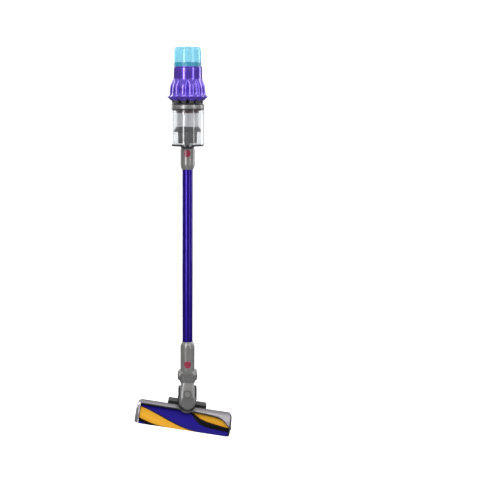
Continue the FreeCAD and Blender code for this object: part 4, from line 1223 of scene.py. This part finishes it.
def ribbed_collector():
    foot = on_axis(machine_axis, "dust_collector")
    top = height_of("dust_collector", 1.0)
    skirt = [(24.4, 0.4), (25.6, 0.0), (26.4, 0.8), (26.6, 3.6), (26.8, 14.0), (27.2, 26.0), (27.5, 36.6),
             (28.6, 38.6), (30.6, 38.9), (33.6, 35.6), (36.6, 32.4), (39.2, 32.2), (39.7, 32.8),
             (38.8, 35.0), (36.4, 38.4), (33.8, 42.0), (31.4, 46.2), (29.0, 46.3), (26.0, 40.0), (24.6, 20.0)]
    bm = lathe(skirt, foot, steps=DRUM_RIBS * 8)
    for vert in bm.verts:
        angle, radius = polar(vert.co, foot)
        if 1.5 < (vert.co.z - foot.z) / MM < 37.0 and radius > 26.5 * MM:
            radius -= RIB_GROOVE * (0.5 + 0.5 * math.cos(angle * DRUM_RIBS)) ** 3 * MM
            vert.co = from_polar(angle, radius, foot, vert.co.z)
        away = (vert.co - wand_axis).xy
        if away.length < DUCT_CLEARANCE * MM and vert.co.z < top:
            vert.co.xy = wand_axis.xy + away.normalized() * DUCT_CLEARANCE * MM
    return piece("ribbed_collector", bm, "machine", collector_grey, ["dust_collector"],
                 sharp=35)


ribbed_collector()
seal_top = on_axis(machine_axis, "bin_seal", 1.0)
lip_seal = lathe([(43.1, -1.8), (44.3, -1.8), (44.3, -0.1), (43.1, -0.1)], seal_top, steps=128)
piece("bin_lip_seal", lip_seal, "bin", seal_rubber, ["bin_seal"])

# %% [markdown]
# ## Battery
# The battery is a case in two halves with a seam, a narrower foot, cooling slots and a row of small
# charge lights. The case is a loft of soft rectangles; the seam is a pair of slightly smaller sections.

# %% Battery case
battery_low, battery_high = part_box("battery_case")
KEY_GROOVE_HALF = 4.8
KEY_GROOVE_DEPTH = 3.6
LOUVRES = 7
LOUVRE_PITCH = 5.2
LIGHT_SIZE = Vector((1.8, 0.5, 0.6))


def battery_pack():
    """The case, with a groove down its back for the spine's key."""
    low, high = battery_low, battery_high
    half_width, half_depth = (high.x - low.x) / 2 / MM, (high.y - low.y) / 2 / MM
    tall = (high.z - low.z) / MM
    shrinks = [(0.0, 3.2), (0.8, 1.6), (2.4, 0.5), (4.4, 0.0), (29.2, 0.0), (29.5, 0.8), (30.5, 0.8),
               (30.8, 0.0), (tall - 14.2, 0.0), (tall - 13.9, 0.7), (tall - 13.1, 0.7), (tall - 12.8, 0.0),
               (tall - 1.2, 0.0), (tall - 0.4, 0.4), (tall, 1.2)]
    x, y = (low.x + high.x) / 2, (low.y + high.y) / 2
    sections = [oval(half_width - off, half_depth - off, Vector((x, y, low.z + h * MM)), 6.0)
                for h, off in shrinks]
    bm = loft(sections, 96)
    groove = high.y - KEY_GROOVE_DEPTH * MM
    for vert in bm.verts:
        if abs(vert.co.x - x) < KEY_GROOVE_HALF * MM and vert.co.y > groove:
            vert.co.y = groove
    return piece("battery_shell", bm, "battery", dark, ["battery_case"], sharp=30,
                 rounding=0.4)


def battery_louvres():
    low, high = battery_low, battery_high
    bm = bmesh.new()
    for side, face in ((-1, low.x), (1, high.x)):
        x0, x1 = sorted((face - side * 0.9 * MM, face + side * 0.5 * MM))
        for k in range(LOUVRES):
            z = low.z + (44 + LOUVRE_PITCH * k) * MM
            join_in(bm, block((x0, low.y + 11 * MM, z), (x1, high.y - 13 * MM, z + 2.2 * MM), 0.5, 2))
    return piece("battery_louvres", bm, "battery", dark_gloss, sharp=30)


def charge_lights():
    bm = bmesh.new()
    for x in (-6.0, 0.0, 6.0):
        centre = Vector((x * MM, battery_low.y - 0.1 * MM, battery_low.z + 38 * MM))
        join_in(bm, block(centre - LIGHT_SIZE * MM, centre + LIGHT_SIZE * MM, 0.35, 2))
    return piece("charge_lights", bm, "battery", teal, sharp=30)


battery_pack()
battery_louvres()
charge_lights()

# %% [markdown]
# ## Handle foot and spine
# The grip ends in a block that the battery clips under, and a flat spine runs down behind the battery
# to the charging socket. Both are lofts: the spine's starts up inside the socket, so that its hole is
# part of the same skin. A shelf and a long key join them as plain rounded blocks.

# %% Handle foot
foot_low, foot_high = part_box("handle_foot")
SOCKET_RADIUS = 2.75
SPINE_HALF = 15.0
SPINE_HALF_DEPTH = 4.9
BLOCK_HALF = 19.0
BLOCK_HALF_DEPTH = 7.4
BLOCK_FORWARD = 7.6    # the block's middle, in front of the spine's back face

# height and growth of the socket's rings; height and how far the spine's and the block's are drawn in
SOCKET = [(11.0, 0.0), (0.8, 0.0), (0.0, 0.7)]
SPINE = [(0.0, 1.4), (0.5, 0.6), (1.6, 0.0), (8.0, 0.0), (8.3, 0.5), (9.1, 0.5), (9.4, 0.0), (60.0, 0.0),
         (134.6, 0.0)]
BLOCK = [(134.8, 2.4), (135.6, 1.0), (137.4, 0.2), (139.0, 0.0), (160.0, 0.0)]
BLOCK_TOP = [(6.0, 0.3), (3.0, 1.4), (1.0, 3.4), (0.0, 6.4)]


def from_foot(x, forward, rise):
    """A point in millimetres from the middle line, the spine's back face and its lower end."""
    return Vector((x * MM, foot_high.y - forward * MM, foot_low.z + rise * MM))


def spine_and_foot():
    tall = (foot_high.z - foot_low.z) / MM
    sections = [oval(SOCKET_RADIUS + grow, SOCKET_RADIUS + grow, from_foot(0, SPINE_HALF_DEPTH, h))
                for h, grow in SOCKET]
    sections += [oval(SPINE_HALF - off, SPINE_HALF_DEPTH - off * 0.5, from_foot(0, SPINE_HALF_DEPTH, h), 5.0)
                 for h, off in SPINE]
    bm = loft(sections, 80)
    rings = [oval(BLOCK_HALF - off, BLOCK_HALF_DEPTH - off * 0.7, from_foot(0, BLOCK_FORWARD, h), 5.0)
             for h, off in BLOCK + [(tall - drop, off) for drop, off in BLOCK_TOP]]
    join_in(bm, loft(rings, 80))
    join_in(bm, block(from_foot(-18.6, 45.6, 134.8), from_foot(18.6, 10.0, 140.6), 2.0, 4))
    join_in(bm, block(from_foot(-4.0, 13.6, 25.0), from_foot(4.0, 9.0, 130.0), 0.8, 2))
    return piece("handle_spine", bm, "machine", dark, ["handle_foot"], sharp=32)


def spine_ribs():
    """Two long raised rails and a row of finger ribs on the spine's back face."""
    bm = bmesh.new()
    for x in (-10.2, 8.6):
        join_in(bm, block(from_foot(x, 0.6, 16.0), from_foot(x + 1.6, -0.5, 122.0), 0.5, 2))
    for k in range(6):
        rise = 28 + 3.6 * k
        join_in(bm, block(from_foot(-6.2, 0.6, rise), from_foot(6.2, -0.5, rise + 1.5), 0.45, 2))
    return piece("spine_ribs", bm, "machine", dark_gloss, sharp=30)


spine_and_foot()
spine_ribs()

# %% [markdown]
# ## Button bezels
# Each red button sits in a fine metal ring that follows the cuff's round face. A flat ring is spun,
# then each point is laid back onto the cuff's radius.

# %% Bezels
def bezel(name, button, cuff_radius, body):
    low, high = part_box(button)
    radius = (high.x - low.x) / 2 / MM
    flat = lathe([(radius + 0.35, -0.8), (radius + 1.5, -0.8), (radius + 1.5, 0.35), (radius + 0.9, 0.6),
                  (radius + 0.35, 0.35)], ORIGIN, steps=64)
    bmesh.ops.rotate(flat, cent=ORIGIN, matrix=Matrix.Rotation(math.radians(90), 3, "X"), verts=flat.verts)
    for vert in flat.verts:
        across, proud, rise = vert.co.x, -vert.co.y, vert.co.z
        face = math.sqrt(max((cuff_radius * MM) ** 2 - across ** 2, 0.0))
        vert.co = Vector((wand_axis.x + across, wand_axis.y - face - proud, (low.z + high.z) / 2 + rise))
    return piece(name, flat, body, pale_nickel, sharp=40)


bezel("wand_button_bezel", "wand_button", 20.4, "wand")
bezel("head_button_bezel", "head_button", 20.9, "neck_top")

# %% [markdown]
# ## Tyres
# The rear wheels have a soft tread with cross grooves. Each tyre is turned about the roller's
# direction, and its rim is waved to cut the grooves.

# %% Tyres
TREAD_GROOVES = 24
GROOVE_DEPTH = 0.7

# along the axle and radius
TYRE = [(-7.9, 2.1), (-7.9, 7.9), (-7.0, 8.9), (-5.6, 9.4), (-1.0, 9.5), (-0.7, 8.7), (0.7, 8.7), (1.0, 9.5),
        (5.6, 9.4), (7.0, 8.9), (7.9, 7.9), (7.9, 2.1)]


def tyre(side):
    wheel = f"wheel_{side}"
    corners = levelled(wheel)
    centre = Vector([(min(c[k] for c in corners) + max(c[k] for c in corners)) / 2 for k in range(3)])
    points = [centre + Vector((x * MM, 0, r * MM)) for x, r in TYRE]
    bm = spun(points, centre, (1, 0, 0), TREAD_GROOVES * 4)
    rim = max(r for _, r in TYRE) - 0.25
    for vert in bm.verts:
        y, z = vert.co.y - centre.y, vert.co.z - centre.z
        reach = math.hypot(y, z)
        if reach > rim * MM:
            dip = GROOVE_DEPTH * MM * (0.5 + 0.5 * math.cos(math.atan2(z, y) * TREAD_GROOVES)) ** 4
            shrink = 1 - dip / reach
            vert.co.y, vert.co.z = centre.y + y * shrink, centre.z + z * shrink
    bmesh.ops.transform(bm, matrix=head_place, verts=bm.verts)
    return piece(f"{side}_tyre", bm, f"{side}_wheel", seal_rubber, [wheel], sharp=40)


for side in ("left", "right"):
    tyre(side)
